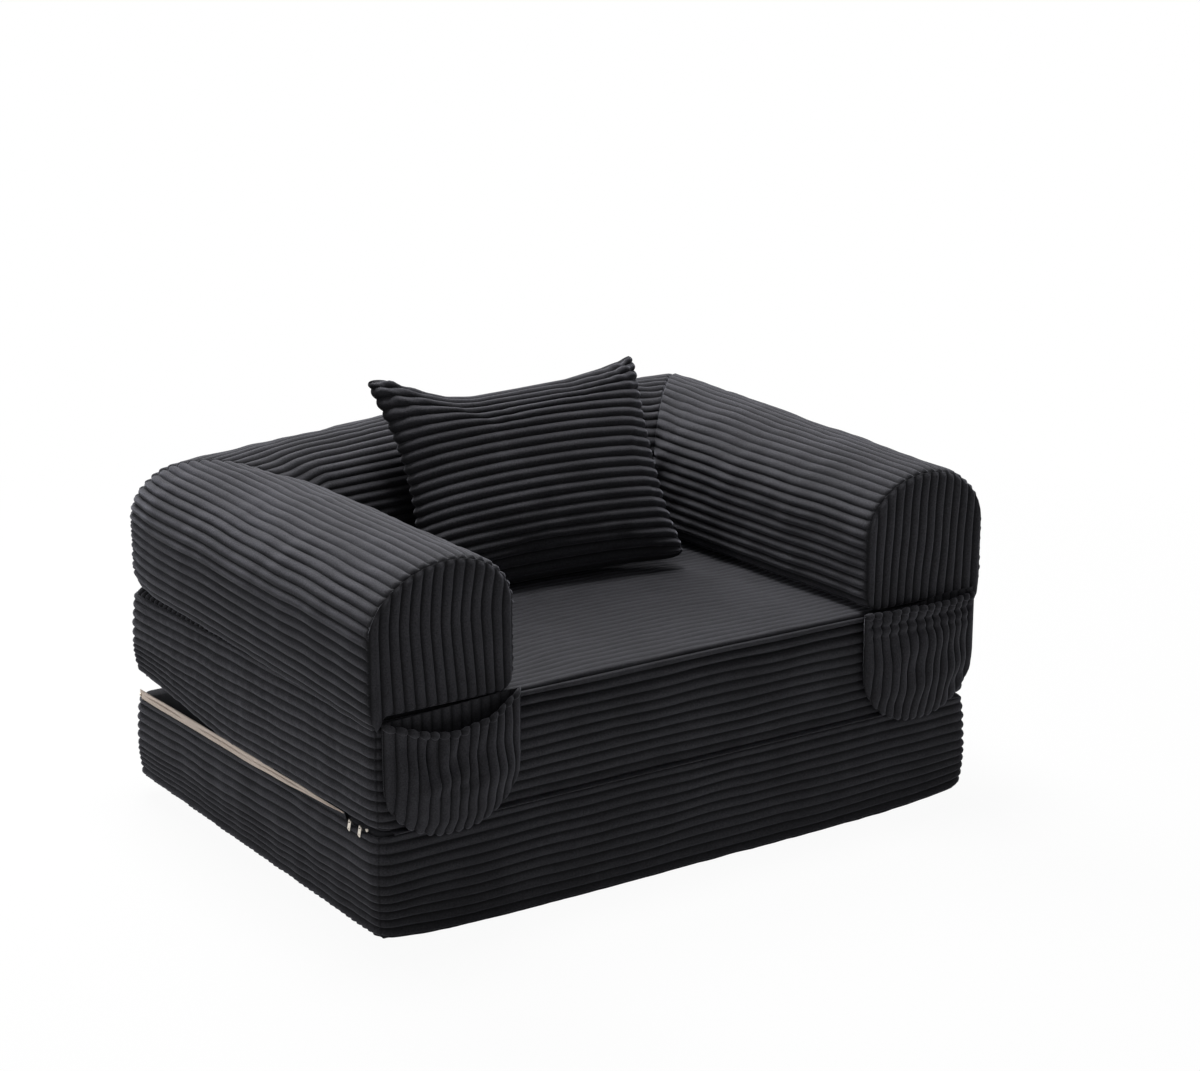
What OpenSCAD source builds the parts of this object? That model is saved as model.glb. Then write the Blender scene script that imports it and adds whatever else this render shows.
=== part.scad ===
// Fold-out sofa bed for one. A foam seat block lies on a foam base block, and the two are
// sewn together along the front crease, so that the base swings out to the front as a bed.
// A U-shaped bolster makes the arms and the back, a pocket hangs from each arm, and a
// loose pillow leans on the back. Millimetres, Z up, the front faces -Y.

/* [Blocks] */
// Width of each block, side to side
block_w = 1068; // [900:2:1300]
// Depth of each block, front to back
block_d = 762; // [660:2:900]
// Height of each block
block_h = 166; // [140:1:200]
// Plan radius of the upright corners
corner_r = 28; // [24:1:50]
// Radius of the long soft edges
edge_r = 16; // [12:1:26]
// Radius of the base's lower edges
foot_r = 10; // [6:1:20]
// How far the upright sides swell at half height
side_swell = 4; // [1:0.5:8]
// Rise of the seat's crown between the arms
seat_crown = 10; // [2:1:18]
// How far the base's upper edge sinks at the back
back_drop = 2; // [0:1:34]
// How far the seat's lower edge lifts at the back
back_lift = 34; // [4:1:40]
// Share of the block's depth over which that edge lifts
lift_run = 0.4; // [0.3:0.05:1]
// How far the base's lower edge lifts at the sides, and again at the back
foot_lift = 15; // [0:1:18]
// Width of the edge band that sinks or lifts
slack_band = 120; // [90:5:150]
// Thickness of the cover with its wadding over the foam
wadding = 18; // [16:1:26]
// Thickness of the anti-slip panels on the inner faces of the fold
panel_t = 1.5; // [1:0.5:3]

/* [Fold] */
// Gap between the two blocks when they are folded
fold_gap = 0.4; // [0.2:0.1:1]
// How far the fold's axis stands in front of the blocks
fold_reach = 0.5; // [0.3:0.1:2]
// Thickness of the sewn hinge strip
strip_t = 1; // [0.6:0.2:2]
// Radius of the welt on the hinge strip's edge
welt_r = 1.5; // [1:0.25:3]

/* [Bolster] */
// Widest width of the bolster's D section
bolster_w = 236; // [180:2:260]
// How far the bolster stands past the blocks at the sides and the back
bolster_out = 10; // [0:1:25]
// Height of each arm at its front end
arm_h = 205; // [170:1:230]
// Height of the back between the arms
back_h = 236; // [190:1:260]
// Height of the left back corner, where the bolster has settled
corner_h_left = 207; // [170:1:260]
// Height of the right back corner
corner_h_right = 234; // [170:1:260]
// How far the left arm's crest has settled towards the seat
lean_left = 16; // [0:1:24]
// How far the bolster's outer lower edges droop over the seat's edge
bolster_droop = 18; // [0:1:22]
// Height at which the D section is widest
waist_h = 110; // [80:1:130]
// How much the front seam draws the arm in
seam_draw = 6; // [2:0.5:10]
// Length of arm over which the front seam draws in
seam_run = 25; // [15:1:40]
// How far the outer back corners are rounded off
back_round = 18; // [5:1:24]
// How far the end panels stand proud in the middle
end_bulge = 2; // [1:0.5:10]
// Thickness of the end panels at their seam
end_t = 3; // [2:0.5:5]
// Width of the hook and loop tapes
tape_w = 40; // [20:5:60]
// Thickness of each hook or loop tape
tape_t = 1; // [0.6:0.2:2]

/* [Pockets] */
// Width of each pocket
pocket_w = 218; // [160:2:230]
// Distance from the block's side to the pocket's outer edge
pocket_inset = 10; // [0:1:30]
// Height of each pocket
pocket_h = 182; // [140:2:200]
// How far the pocket's top stands above the seat's edge
pocket_rise = 4; // [2:0.5:8]
// How far the left pouch stands out in front of its backing
belly_left = 26; // [15:1:40]
// How far the right pouch stands out in front of its backing
belly_right = 20; // [15:1:40]
// How far the left pouch's mouth sags at its middle
sag_left = 22; // [5:1:35]
// How far the right pouch's mouth sags at its middle
sag_right = 6; // [5:1:35]
// Thickness of the pocket fabric
pocket_t = 2; // [1.5:0.5:3]
// Depth of the soft folds in the pouch
pouch_fold = 2.5; // [0:0.5:4]
// Number of soft folds across the pouch
pouch_folds = 4; // [2:1:6]
// Height of the binding along the pouch's mouth
binding_h = 9; // [5:1:14]
// Thickness of the binding
binding_t = 1; // [0.6:0.2:2]

/* [Pillow] */
// Width of the pillow, corner to corner
pillow_w = 460; // [380:5:520]
// Height of the pillow, corner to corner
pillow_h = 347; // [320:5:420]
// Thickness of the pillow at its middle
pillow_t = 140; // [90:5:170]
// How far the pillow's sides draw in between its corners
side_draw = 22; // [5:1:35]
// How far the pillow's top edge draws in between its corners
top_draw = 36; // [5:1:45]
// How far the pillow's lower edge draws in between its corners
low_draw = 14; // [5:1:35]
// Thickness of the pillow's cover
pillow_cover_t = 8; // [5:1:12]
// How far the pillow leans back, in degrees
pillow_lean = 26; // [15:1:35]
// How far the pillow is turned about the upright, in degrees
pillow_turn = -8; // [-12:1:10]
// How far the pillow's right side is tipped up, in degrees
pillow_tip = 2; // [0:0.5:4]
// Sideways place of the pillow's middle
pillow_x = 12; // [-60:1:60]
// How far the seat's crown lifts the pillow's lower corner
pillow_rise = 3; // [0:0.5:10]
// Place of the pillow's middle in front of the back's inner face
pillow_y = 79; // [60:0.5:120]

/* [Zip] */
// Width of the zip tape that shows
zip_w = 18; // [12:1:20]
// Thickness of the zip tape
zip_t = 1.2; // [0.8:0.2:2]
// Radius of the closed zip's coil
coil_r = 1.2; // [0.8:0.1:2]
// How far the tape stands up past the edge
zip_stand = 11; // [8:0.5:12]
// How far the tape leans out from the upright, in degrees
zip_lean = 9; // [8:1:12]
// Distance from the block's upright corners to each end of the zip
zip_margin = 2; // [2:1:60]
// Length of each zip slider
slider_l = 11; // [8:0.5:14]
// Width of each zip slider
slider_w = 7.5; // [6:0.5:9]
// Distance from the zip's front end to the front slider's middle
slider_place = 14; // [14:1:24]
// Distance between the two sliders
slider_space = 28; // [20:1:40]
// Length of each pull tab
pull_l = 20; // [14:1:26]
// Width of each pull tab
pull_w = 6; // [5:0.5:8]
// Thickness of each pull tab
pull_t = 1.2; // [0.8:0.1:1.6]
// Radius of the rivet that a pull tab hangs from
rivet_r = 0.9; // [0.7:0.1:1.2]
// Hanging angle of the pull tabs from the upright, in degrees
pull_angle = 28; // [0:1:40]

/* [Clearances] */
// Gap between soft pieces that lie against each other
soft_gap = 0.3; // [0.2:0.1:0.6]
// Radial clearance between a rivet and its pull tab
rivet_gap = 0.08; // [0.05:0.01:0.12]
// Gap between a zip slider and what it runs on
slider_gap = 0.25; // [0.15:0.05:0.4]

/* [Hidden] */
$fn = 48;

cord_black = [0.09, 0.09, 0.1];
lining_grey = [0.2, 0.2, 0.21];
foam_white = [0.9, 0.88, 0.82];
tape_black = [0.05, 0.05, 0.05];
zip_cream = [0.9, 0.86, 0.78];
pull_silver = [0.8, 0.79, 0.76];

// Places of the faces, with the whole sofa centred on the origin in plan
arm_proud = fold_reach + welt_r;
pocket_out = arm_proud + 2*soft_gap + 2*pocket_t + max(belly_left, belly_right);
front_y = -block_d/2 + (pocket_out - bolster_out)/2;
mid_y = front_y + block_d/2;
rear_y = front_y + block_d;
seat_z = block_h + fold_gap;
seat_top = seat_z + block_h;
bolster_z = seat_top + 2*tape_t + soft_gap;
fold_y = front_y - fold_reach;
arm_front = front_y - arm_proud;
fold_z = block_h + fold_gap/2;
bolster_half = bolster_w/2;
arm_x = block_w/2 + bolster_out - bolster_half;
back_y = rear_y + bolster_out - bolster_half;
inner_half = arm_x - bolster_half;
inner_y = back_y - bolster_half;

// Points round a block: steps of each corner's arc, and pieces of each straight side
corner_steps = 4;
side_steps = 6;
outline_n = 4*(corner_steps + side_steps);
arc_step = 45;
inset_min_r = 6;
side_low = 0.3;
side_high = 0.7;
swell_share = 0.4;
flat_share = 0.7;

function mix(a, b, t) = a + (b - a)*t;
function unit_ramp(t) = max(0, min(1, t));

// Faces of a stack of closed rings, with a middle point under the first and over the last
function stack_faces(rings, n) = concat(
    [for (k = [0:rings-2], i = [0:n-1]) [k*n + i, (k+1)*n + i, (k+1)*n + (i+1)%n]],
    [for (k = [0:rings-2], i = [0:n-1]) [k*n + i, (k+1)*n + (i+1)%n, k*n + (i+1)%n]],
    [for (i = [0:n-1]) [rings*n, i, (i+1)%n]],
    [for (i = [0:n-1]) [rings*n + 1, (rings-1)*n + (i+1)%n, (rings-1)*n + i]]
);

// Rounded rectangle as points, anticlockwise seen from above
function corner_centre(q, hw, hd) =
    [(q%4 == 0 || q%4 == 3) ? hw : -hw, (q%4 < 2) ? hd : -hd];
function soft_outline(hw, hd, r) = [
    for (q = [0:3])
        let (c = corner_centre(q, hw-r, hd-r), d = corner_centre(q+1, hw-r, hd-r))
        each concat(
            [for (s = [0:corner_steps])
                let (a = 90*(q + s/corner_steps)) c + r*[cos(a), sin(a)]],
            [for (s = [1:side_steps-1])
                let (a = 90*(q+1)) mix(c, d, s/side_steps) + r*[cos(a), sin(a)]]
        )
];

// How far back a point lies on the block, from 0 at the front to 1 at the back
function back_part(y) = unit_ramp((y - front_y)/block_d);
crown_margin = 50;
// Crown of the seat between the arms and in front of the back
function crown_at(x, y) =
    let (across = max(0, 1 - pow(x/(inner_half - crown_margin), 2)),
         along = unit_ramp((y - front_y)/(inner_y - front_y)))
    seat_crown*across*pow(sin(180*along), 0.6);

// Each ring of a block is its inset, its height, and its shares of lift, drop and crown
function lower_edge(r, crush) = [for (a = [0:arc_step:90])
    [crush + r*(1 - sin(a)), r*(1 - cos(a)), a == 0 ? flat_share : 1, 0, 0]];
side_rings = [
    [swell_share*side_swell, side_low*block_h, 0.5, 0, 0],
    [0, block_h/2, 0, 0, 0],
    [swell_share*side_swell, side_high*block_h, 0, 0.5, 0]
];
upper_edge = [for (a = [0:arc_step:90])
    [side_swell + edge_r*(1 - cos(a)), block_h - edge_r*(1 - sin(a)), 0, a == 90 ? flat_share : 1, a/90]];
seat_rings = concat(
    [[slack_band, panel_t, 0, 0, 0], [slack_band/2, panel_t, 0.25, 0, 0]],
    lower_edge(edge_r, side_swell), side_rings, upper_edge,
    [for (s = [0.5, 1, 1.65, 2.2]) [slack_band*s, block_h, 0, 0, 1]]);
base_rings = concat(
    [[slack_band, 0, 0, 0, 0], [slack_band/2, 0, 0.2, 0, 0]],
    lower_edge(foot_r, swell_share*side_swell), side_rings, upper_edge,
    [[slack_band/2, block_h - panel_t, 0, 0.25, 0], [slack_band, block_h - panel_t, 0, 0, 0]]);

// Share of the lift at a point of an edge. The base's edge lifts all along and at its sides.
side_power = 6;
function lift_at(x, y, from_sides) =
    mix(unit_ramp(1 - (1 - back_part(y))/lift_run), back_part(y), from_sides)
    + from_sides*pow(abs(x)/(block_w/2), side_power);
function ring_points(ring, z0, lift, drop, crown) =
    [for (p = soft_outline(block_w/2 - ring[0], block_d/2 - ring[0], max(inset_min_r, corner_r - ring[0])))
        let (x = p[0], y = p[1] + mid_y)
        [x, y, z0 + ring[1] + lift*ring[2]*lift_at(x, y, 1 - crown) - drop*ring[3]*back_part(y)
            + crown*ring[4]*crown_at(x, y)]];

// A block from its rings, with crown 1 for a crowned top and 0 for a flat one
module block_form(rings, z0, lift, drop, crown, low_z, high_z) {
    polyhedron(
        points = concat(
            [for (ring = rings) each ring_points(ring, z0, lift, drop, crown)],
            [[0, mid_y, low_z], [0, mid_y, high_z]]),
        faces = stack_faces(len(rings), outline_n));
}

// Rounded slab with upright sides
module slab(w, d, r, z, h) {
    translate([0, mid_y, z])
        linear_extrude(height = h)
            union() {
                square([w - 2*r, d], center = true);
                square([w, d - 2*r], center = true);
                for (sx = [-1, 1], sy = [-1, 1])
                    translate([sx*(w/2 - r), sy*(d/2 - r)]) circle(r);
            }
}

foam_inset = side_swell + 2*wadding;
foam_h = block_h - 2*wadding - 2*panel_t;
module block_foam(z, grow) {
    slab(block_w - 2*foam_inset + 2*grow, block_d - 2*foam_inset + 2*grow,
        corner_r - wadding + grow, z - grow, foam_h + 2*grow);
}
module grip_panel(z) {
    slab(block_w - 2*slack_band, block_d - 2*slack_band, corner_r, z, panel_t);
}

// Seat block
seat_foam_z = seat_z + panel_t + wadding;
module seat_cover() {
    color(cord_black)
        difference() {
            block_form(seat_rings, seat_z, back_lift, 0, 1, seat_z + panel_t, seat_top + crown_at(0, mid_y));
            block_foam(seat_foam_z, soft_gap);
        }
}
module seat_foam() {
    color(foam_white) block_foam(seat_foam_z, 0);
}
module seat_grip_panel() {
    color(lining_grey) grip_panel(seat_z);
}

// Loop tapes on the seat and hook tapes under the bolster
tape_margin = 60;
tape_start = front_y + tape_margin;
module tapes(z) {
    for (s = [-1, 1])
        translate([s*arm_x - tape_w/2, tape_start, z]) cube([tape_w, inner_y - tape_start, tape_t]);
    translate([-inner_half, back_y - tape_w/2, z]) cube([2*inner_half, tape_w, tape_t]);
}
module seat_loop_tapes() {
    color(tape_black) tapes(seat_top);
}

// Sewn hinge strip between the blocks, with a round welt on the fold's axis
strip_end = side_swell + edge_r - (strip_t/2 + soft_gap - fold_gap/2)/tan(arc_step/2);
strip_half = block_w/2 - corner_r;
module fold_hinge_strip() {
    color(cord_black)
        translate([-strip_half, fold_y, fold_z])
            rotate([90, 0, 90])
                linear_extrude(height = 2*strip_half)
                    union() {
                        circle(welt_r);
                        translate([0, -strip_t/2]) square([strip_end + fold_reach, strip_t]);
                    }
}

// Base block
base_foam_z = wadding;
module base_cover() {
    color(cord_black)
        difference() {
            block_form(base_rings, 0, foot_lift, back_drop, 0, 0, block_h - panel_t);
            block_foam(base_foam_z, soft_gap);
        }
}
module base_foam() {
    color(foam_white) block_foam(base_foam_z, 0);
}
module base_grip_panel() {
    color(lining_grey) grip_panel(block_h - panel_t);
}

// D section of the bolster: a list of points across and up, from its middle line
section_n = 24;
foot_power = 0.3;
foot_cut = 1.5;
droop_from = 0.8;
droop_run = 0.1;
function foot_height(a) = max(0, waist_h*(1 - pow(-sin(a), foot_power)) - foot_cut);
function droop_at(u, z) = bolster_droop*unit_ramp((-u - droop_from)/droop_run)*(1 - z/waist_h);
function section_point(a, half, h, hang, lean) =
    sin(a) >= 0
        ? [half*cos(a) + lean*sin(a), waist_h + (h - waist_h)*sin(a)]
        : let (u = sign(cos(a))*pow(abs(cos(a)), foot_power), z = foot_height(a))
            [half*u, z - hang*droop_at(u, z)];
function section(half, h, hang, lean) =
    [for (i = [0:section_n-1]) section_point(360*i/section_n, half, h, hang, lean)];
// The outer side of a corner section is drawn in by a share of the corner's rounding
function rounded_across(u, share) = u < 0 ? u*(1 - share*back_round/bolster_half) : u;

// Stations of an arm: y at the front of the corner, share of the corner turned, draw-in
turn_steps = [0.45, 0.75, 0.92, 1];
turn_early = 25;
corner_run = inner_y - turn_early;
arm_stations = concat(
    [[arm_front + end_t, 0, seam_draw], [arm_front + end_t + seam_run, 0, 0]],
    [for (t = [0.4, 0.75, 1]) [mix(arm_front + end_t, corner_run, t), 0, 0]],
    [for (t = turn_steps) [corner_run, t, 0]]);
function arm_ring(station, corner_h, lean) =
    let (y0 = station[0], t = station[1], along = (mix(y0, back_y, t) - arm_front)/(back_y - arm_front),
        h = mix(arm_h, corner_h, along) - station[2])
    [for (p = section(bolster_half - station[2], h, 1 - along, lean*(1 - t)))
        let (u = rounded_across(p[0], t*t*t))
        [arm_x - u, mix(y0, back_y - u, t), bolster_z + p[1]]];
// Stations of the back, from the left corner to the right one
corner_x = inner_half - turn_early;
back_stations = concat(
    [for (k = [len(turn_steps)-1:-1:0]) [-corner_x, turn_steps[k]]],
    [for (x = [-0.9, 0, 0.9]) [corner_x*x, 0]],
    [for (t = turn_steps) [corner_x, t]]);
function crest_at(x) = mix(back_h, x < 0 ? corner_h_left : corner_h_right, pow(abs(x)/arm_x, 1.5));
function back_ring(station) =
    let (x0 = station[0], t = station[1])
    [for (p = section(bolster_half, crest_at(mix(x0, sign(x0)*arm_x, t)), 1 - t, 0))
        let (u = rounded_across(p[0], t*t*t))
        [mix(x0, sign(x0)*(arm_x - u), t), back_y - u, bolster_z + p[1]]];
function flipped(faces) = [for (f = faces) [f[2], f[1], f[0]]];

module arm_form(corner_h, lean) {
    polyhedron(
        points = concat(
            [for (station = arm_stations) each arm_ring(station, corner_h, lean)],
            [[arm_x, arm_front + end_t, bolster_z + waist_h], [arm_x, back_y, bolster_z + waist_h]]),
        faces = stack_faces(len(arm_stations), section_n));
}
module back_form() {
    polyhedron(
        points = concat(
            [for (station = back_stations) each back_ring(station)],
            [[-arm_x, back_y, bolster_z + waist_h], [arm_x, back_y, bolster_z + waist_h]]),
        faces = flipped(stack_faces(len(back_stations), section_n)));
}

// Foam inside the bolster: a round-topped section, cut at 45 degrees in the corners
foam_slack = 8;
foam_r = bolster_half - wadding - foam_slack;
arm_foam_h = min(arm_h, corner_h_left, corner_h_right);
back_foam_h = min(back_h, corner_h_left, corner_h_right);
mitre_gap = wadding*sqrt(2);
cutter = 2*bolster_w;
module foam_section(h, grow) {
    axis_v = h - seam_draw - wadding - foam_r;
    intersection() {
        union() {
            translate([0, axis_v]) circle(foam_r + grow);
            translate([-foam_r - grow, 0]) square([2*(foam_r + grow), axis_v]);
        }
        translate([-bolster_half, wadding - grow]) square([bolster_w, h]);
    }
}
module arm_foam(grow) {
    foam_front = arm_front + end_t + wadding;
    difference() {
        translate([arm_x, foam_front - grow, bolster_z])
            rotate([90, 0, 0]) mirror([0, 0, 1])
                linear_extrude(height = rear_y - foam_front) foam_section(arm_foam_h, grow);
        translate([arm_x, back_y - mitre_gap + grow*sqrt(2), bolster_z])
            rotate([0, 0, 45]) translate([-cutter/2, 0, 0]) cube([cutter, cutter, back_h]);
    }
}
module back_foam(grow) {
    difference() {
        translate([-block_w/2, back_y, bolster_z])
            rotate([90, 0, 90])
                linear_extrude(height = block_w) foam_section(back_foam_h, grow);
        for (s = [0, 1])
            mirror([s, 0, 0])
                translate([arm_x, back_y + mitre_gap - grow*sqrt(2), bolster_z])
                    rotate([0, 0, 45]) translate([-cutter/2, -cutter, 0]) cube([cutter, cutter, back_h]);
    }
}
module arm_cover(corner_h, lean) {
    color(cord_black)
        difference() {
            arm_form(corner_h, lean);
            arm_foam(soft_gap);
        }
}
module bolster_cover_right() {
    arm_cover(corner_h_right, 0);
}
module bolster_cover_left() {
    mirror([1, 0, 0]) arm_cover(corner_h_left, lean_left);
}
module bolster_cover_back() {
    color(cord_black)
        difference() {
            back_form();
            back_foam(soft_gap);
        }
}
module bolster_foam_right() {
    color(foam_white) arm_foam(0);
}
module bolster_foam_left() {
    color(foam_white) mirror([1, 0, 0]) arm_foam(0);
}
module bolster_foam_back() {
    color(foam_white) back_foam(0);
}
module bolster_hook_tapes() {
    color(tape_black) tapes(bolster_z - tape_t);
}

// End panel of an arm: a D that swells to the front inside its seam
panel_rings = [[1, 0], [1, 1], [0.93, 1], [0.75, 1.6], [0.45, 1.9]];
module end_panel(lean) {
    outline = section(bolster_half - seam_draw, arm_h - seam_draw, 1, lean);
    middle = [0, (arm_h - seam_draw)/2];
    color(cord_black)
        polyhedron(
            points = concat(
                [for (r = panel_rings, p = outline)
                    let (q = middle + r[0]*(p - middle))
                    [arm_x - q[0], arm_front + end_t*(1 - min(1, r[1])) - end_bulge*max(0, r[1] - 1),
                        bolster_z + q[1]]],
                [[arm_x, arm_front + end_t, bolster_z + middle[1]],
                    [arm_x, arm_front - end_bulge, bolster_z + middle[1]]]),
            faces = flipped(stack_faces(len(panel_rings), section_n)));
}
module bolster_end_panel_right() {
    end_panel(0);
}
module bolster_end_panel_left() {
    mirror([1, 0, 0]) end_panel(lean_left);
}

// Two facing sheets of nu by nv cells joined round their rim
function sheet_faces(nu, nv) =
    let (m = (nu+1)*(nv+1), at = function(i, j) i + (nu+1)*j)
    concat(
        [for (j = [0:nv-1], i = [0:nu-1]) each [
            [at(i, j), at(i+1, j+1), at(i+1, j)], [at(i, j), at(i, j+1), at(i+1, j+1)]]],
        [for (j = [0:nv-1], i = [0:nu-1]) each [
            [m + at(i, j), m + at(i+1, j), m + at(i+1, j+1)],
            [m + at(i, j), m + at(i+1, j+1), m + at(i, j+1)]]],
        [for (i = [0:nu-1]) each [
            [at(i, 0), at(i+1, 0), m + at(i+1, 0)], [at(i, 0), m + at(i+1, 0), m + at(i, 0)],
            [at(i, nv), m + at(i, nv), m + at(i+1, nv)], [at(i, nv), m + at(i+1, nv), at(i+1, nv)]]],
        [for (j = [0:nv-1]) each [
            [at(0, j), m + at(0, j), m + at(0, j+1)], [at(0, j), m + at(0, j+1), at(0, j+1)],
            [at(nu, j), at(nu, j+1), m + at(nu, j+1)], [at(nu, j), m + at(nu, j+1), m + at(nu, j)]]]);

// Pockets: each hangs near the block's side, straight above and round below
pocket_x = block_w/2 - pocket_inset - pocket_w/2;
pocket_top = seat_top + pocket_rise;
pocket_back_y = arm_front - soft_gap;
pouch_y = pocket_back_y - pocket_t - soft_gap;
pouch_nu = 14;
straight_rows = 3;
round_rows = 6;
round_end = 80;
// Each row of a pocket is its depth as a share of the height, and its share of the width
pocket_rows = concat(
    [for (j = [0:straight_rows-1]) [0.5*j/straight_rows, 1]],
    [for (j = [0:round_rows]) let (a = round_end*j/round_rows) [0.5 + 0.5*sin(a)/sin(round_end), cos(a)]]);
function pouch_point(u, row, x0, belly, sag, off) =
    let (v = row[0],
         swell = (1 - pow(abs(u), 2.5))*(v < 0.5 ? mix(0.75, 1, 2*v) : cos(180*(v - 0.5))),
         fold = pouch_fold*(1 - v)*(1 - u*u)*(cos(180*pouch_folds*u) - 1)/2)
    [x0 + u*row[1]*pocket_w/2,
        pouch_y - belly*max(0, swell) - fold - off,
        pocket_top - v*pocket_h - sag*(1 - v)*(1 - u*u)];
module pouch_sheet(rows, x0, belly, sag, off, t) {
    nv = len(rows) - 1;
    polyhedron(
        points = concat(
            [for (row = rows, i = [0:pouch_nu]) pouch_point(2*i/pouch_nu - 1, row, x0, belly, sag, off + t)],
            [for (row = rows, i = [0:pouch_nu]) pouch_point(2*i/pouch_nu - 1, row, x0, belly, sag, off)]),
        faces = flipped(sheet_faces(pouch_nu, nv)));
}
module pocket_backing(x0) {
    color(cord_black)
        translate([x0, pocket_back_y, pocket_top])
            rotate([90, 0, 0])
                linear_extrude(height = pocket_t)
                    polygon(concat(
                        [for (row = pocket_rows) [-row[1]*pocket_w/2, -row[0]*pocket_h]],
                        [for (j = [len(pocket_rows)-1:-1:0])
                            [pocket_rows[j][1]*pocket_w/2, -pocket_rows[j][0]*pocket_h]]));
}
module pocket_pouch(x0, belly, sag) {
    color(cord_black) pouch_sheet(pocket_rows, x0, belly, sag, 0, pocket_t);
}
module pocket_binding(x0, belly, sag) {
    color(cord_black)
        pouch_sheet([[0, 1], [binding_h/pocket_h, 1]], x0, belly, sag, pocket_t + soft_gap, binding_t);
}
module pocket_backing_left() {
    pocket_backing(-pocket_x);
}
module pocket_backing_right() {
    pocket_backing(pocket_x);
}
module pocket_pouch_left() {
    pocket_pouch(-pocket_x, belly_left, sag_left);
}
module pocket_pouch_right() {
    pocket_pouch(pocket_x, belly_right, sag_right);
}
module pocket_binding_left() {
    pocket_binding(-pocket_x, belly_left, sag_left);
}
module pocket_binding_right() {
    pocket_binding(pocket_x, belly_right, sag_right);
}

// Pillow: two domed sheets with drawn-in edges and pointed corners
pillow_n = 12;
filling_n = 8;
pillow_seam = 1.5;
dome_power = 0.45;
function pillow_point(u, v, k, side) =
    [k*u*(pillow_w/2 - side_draw*(1 - v*v)),
        side*(pillow_seam + k*(pillow_t/2 - pillow_seam)*pow((1 - u*u)*(1 - v*v), dome_power)),
        k*v*(pillow_h/2 - (v > 0 ? top_draw : low_draw)*(1 - u*u))];
function spread(i, n) = -cos(180*i/n);
// The pillow's middle stands so high that its lower corner rests on the seat
pillow_z = (pillow_h/2*cos(pillow_tip) + pillow_w/2*sin(pillow_tip))*cos(pillow_lean) + pillow_rise;
module pillow_form(k, n) {
    translate([pillow_x, inner_y - pillow_y, seat_top + pillow_z])
        rotate([0, 0, pillow_turn])
            rotate([-pillow_lean, 0, 0]) rotate([0, -pillow_tip, 0])
                polyhedron(
                    points = [for (side = [-1, 1], j = [0:n], i = [0:n])
                        pillow_point(spread(i, n), spread(j, n), k, side)],
                    faces = sheet_faces(n, n));
}
filling_part = 1 - 2*pillow_cover_t/pillow_t;
module pillow_cover() {
    color(cord_black)
        difference() {
            pillow_form(1, pillow_n);
            pillow_form(filling_part + 2*soft_gap/pillow_t, filling_n);
        }
}
module pillow_filling() {
    color(foam_white) pillow_form(filling_part, filling_n);
}

// Zip along the base's upper left edge. Its frame has X along the tape to the back,
// Y down across the tape, and Z straight out of it.
edge_in = edge_r*(1 - cos(arc_step));
edge_up = edge_r*sin(arc_step);
zip_slope = atan(back_drop/block_d);
zip_along = [0, cos(zip_slope), -sin(zip_slope)];
zip_down = [sin(zip_lean), 0, -cos(zip_lean)];
zip_out = cross(zip_down, zip_along)*-1/norm(cross(zip_down, zip_along));
zip_across = cross(zip_out, zip_along);
zip_start_y = front_y + corner_r + zip_margin;
zip_l = (block_d - 2*(corner_r + zip_margin))/cos(zip_slope);
zip_foot = edge_r + (zip_stand - zip_w)*cos(zip_lean);
zip_start = [
    -block_w/2 + side_swell + edge_in*zip_foot/edge_up,
    zip_start_y,
    block_h - edge_r + zip_foot - back_drop*back_part(zip_start_y)
] - zip_w/2*zip_across + soft_gap*zip_out;
module zip_frame(along, up) {
    multmatrix([
        [zip_along[0], zip_across[0], zip_out[0], zip_start[0] + along*zip_along[0] + up*zip_out[0]],
        [zip_along[1], zip_across[1], zip_out[1], zip_start[1] + along*zip_along[1] + up*zip_out[1]],
        [zip_along[2], zip_across[2], zip_out[2], zip_start[2] + along*zip_along[2] + up*zip_out[2]],
        [0, 0, 0, 1]])
        children();
}
coil_up = zip_t + coil_r;
stop_l = 3;
stop_w = 4;
module base_zip_tape() {
    color(zip_cream)
        zip_frame(0, 0) translate([0, -zip_w/2, 0]) cube([zip_l, zip_w, zip_t]);
}
module base_zip_coil() {
    color(zip_cream)
        zip_frame(stop_l, coil_up) rotate([0, 90, 0]) cylinder(r = coil_r, h = zip_l - 2*stop_l);
}
module base_zip_stops() {
    color(pull_silver)
        for (at = [0, zip_l - stop_l])
            zip_frame(at, zip_t) translate([0, -stop_w/2, 0]) cube([stop_l, stop_w, 2*coil_r]);
}

// Zip slider: a channel over the coil with a rivet on its back for the pull tab
slider_wall = 1;
cut_over = 1;
channel_w = 2*(coil_r + slider_gap);
channel_h = 2*coil_r + slider_gap;
slider_up = zip_t + slider_gap;
slider_h = channel_h - slider_gap + slider_wall;
rivet_h = pull_t + 2*slider_gap;
head_h = 0.8;
head_lip = 0.8;
head_r = rivet_r + head_lip;
module zip_slider(place) {
    color(pull_silver)
        zip_frame(place, slider_up)
            union() {
                difference() {
                    translate([-slider_l/2, -slider_w/2, 0]) cube([slider_l, slider_w, slider_h]);
                    translate([-slider_l/2 - cut_over, -channel_w/2, -cut_over])
                        cube([slider_l + 2*cut_over, channel_w, channel_h - slider_gap + cut_over]);
                }
                translate([0, 0, slider_h]) cylinder(r = rivet_r, h = rivet_h);
                translate([0, 0, slider_h + rivet_h]) cylinder(r = head_r, h = head_h);
            }
}
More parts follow.
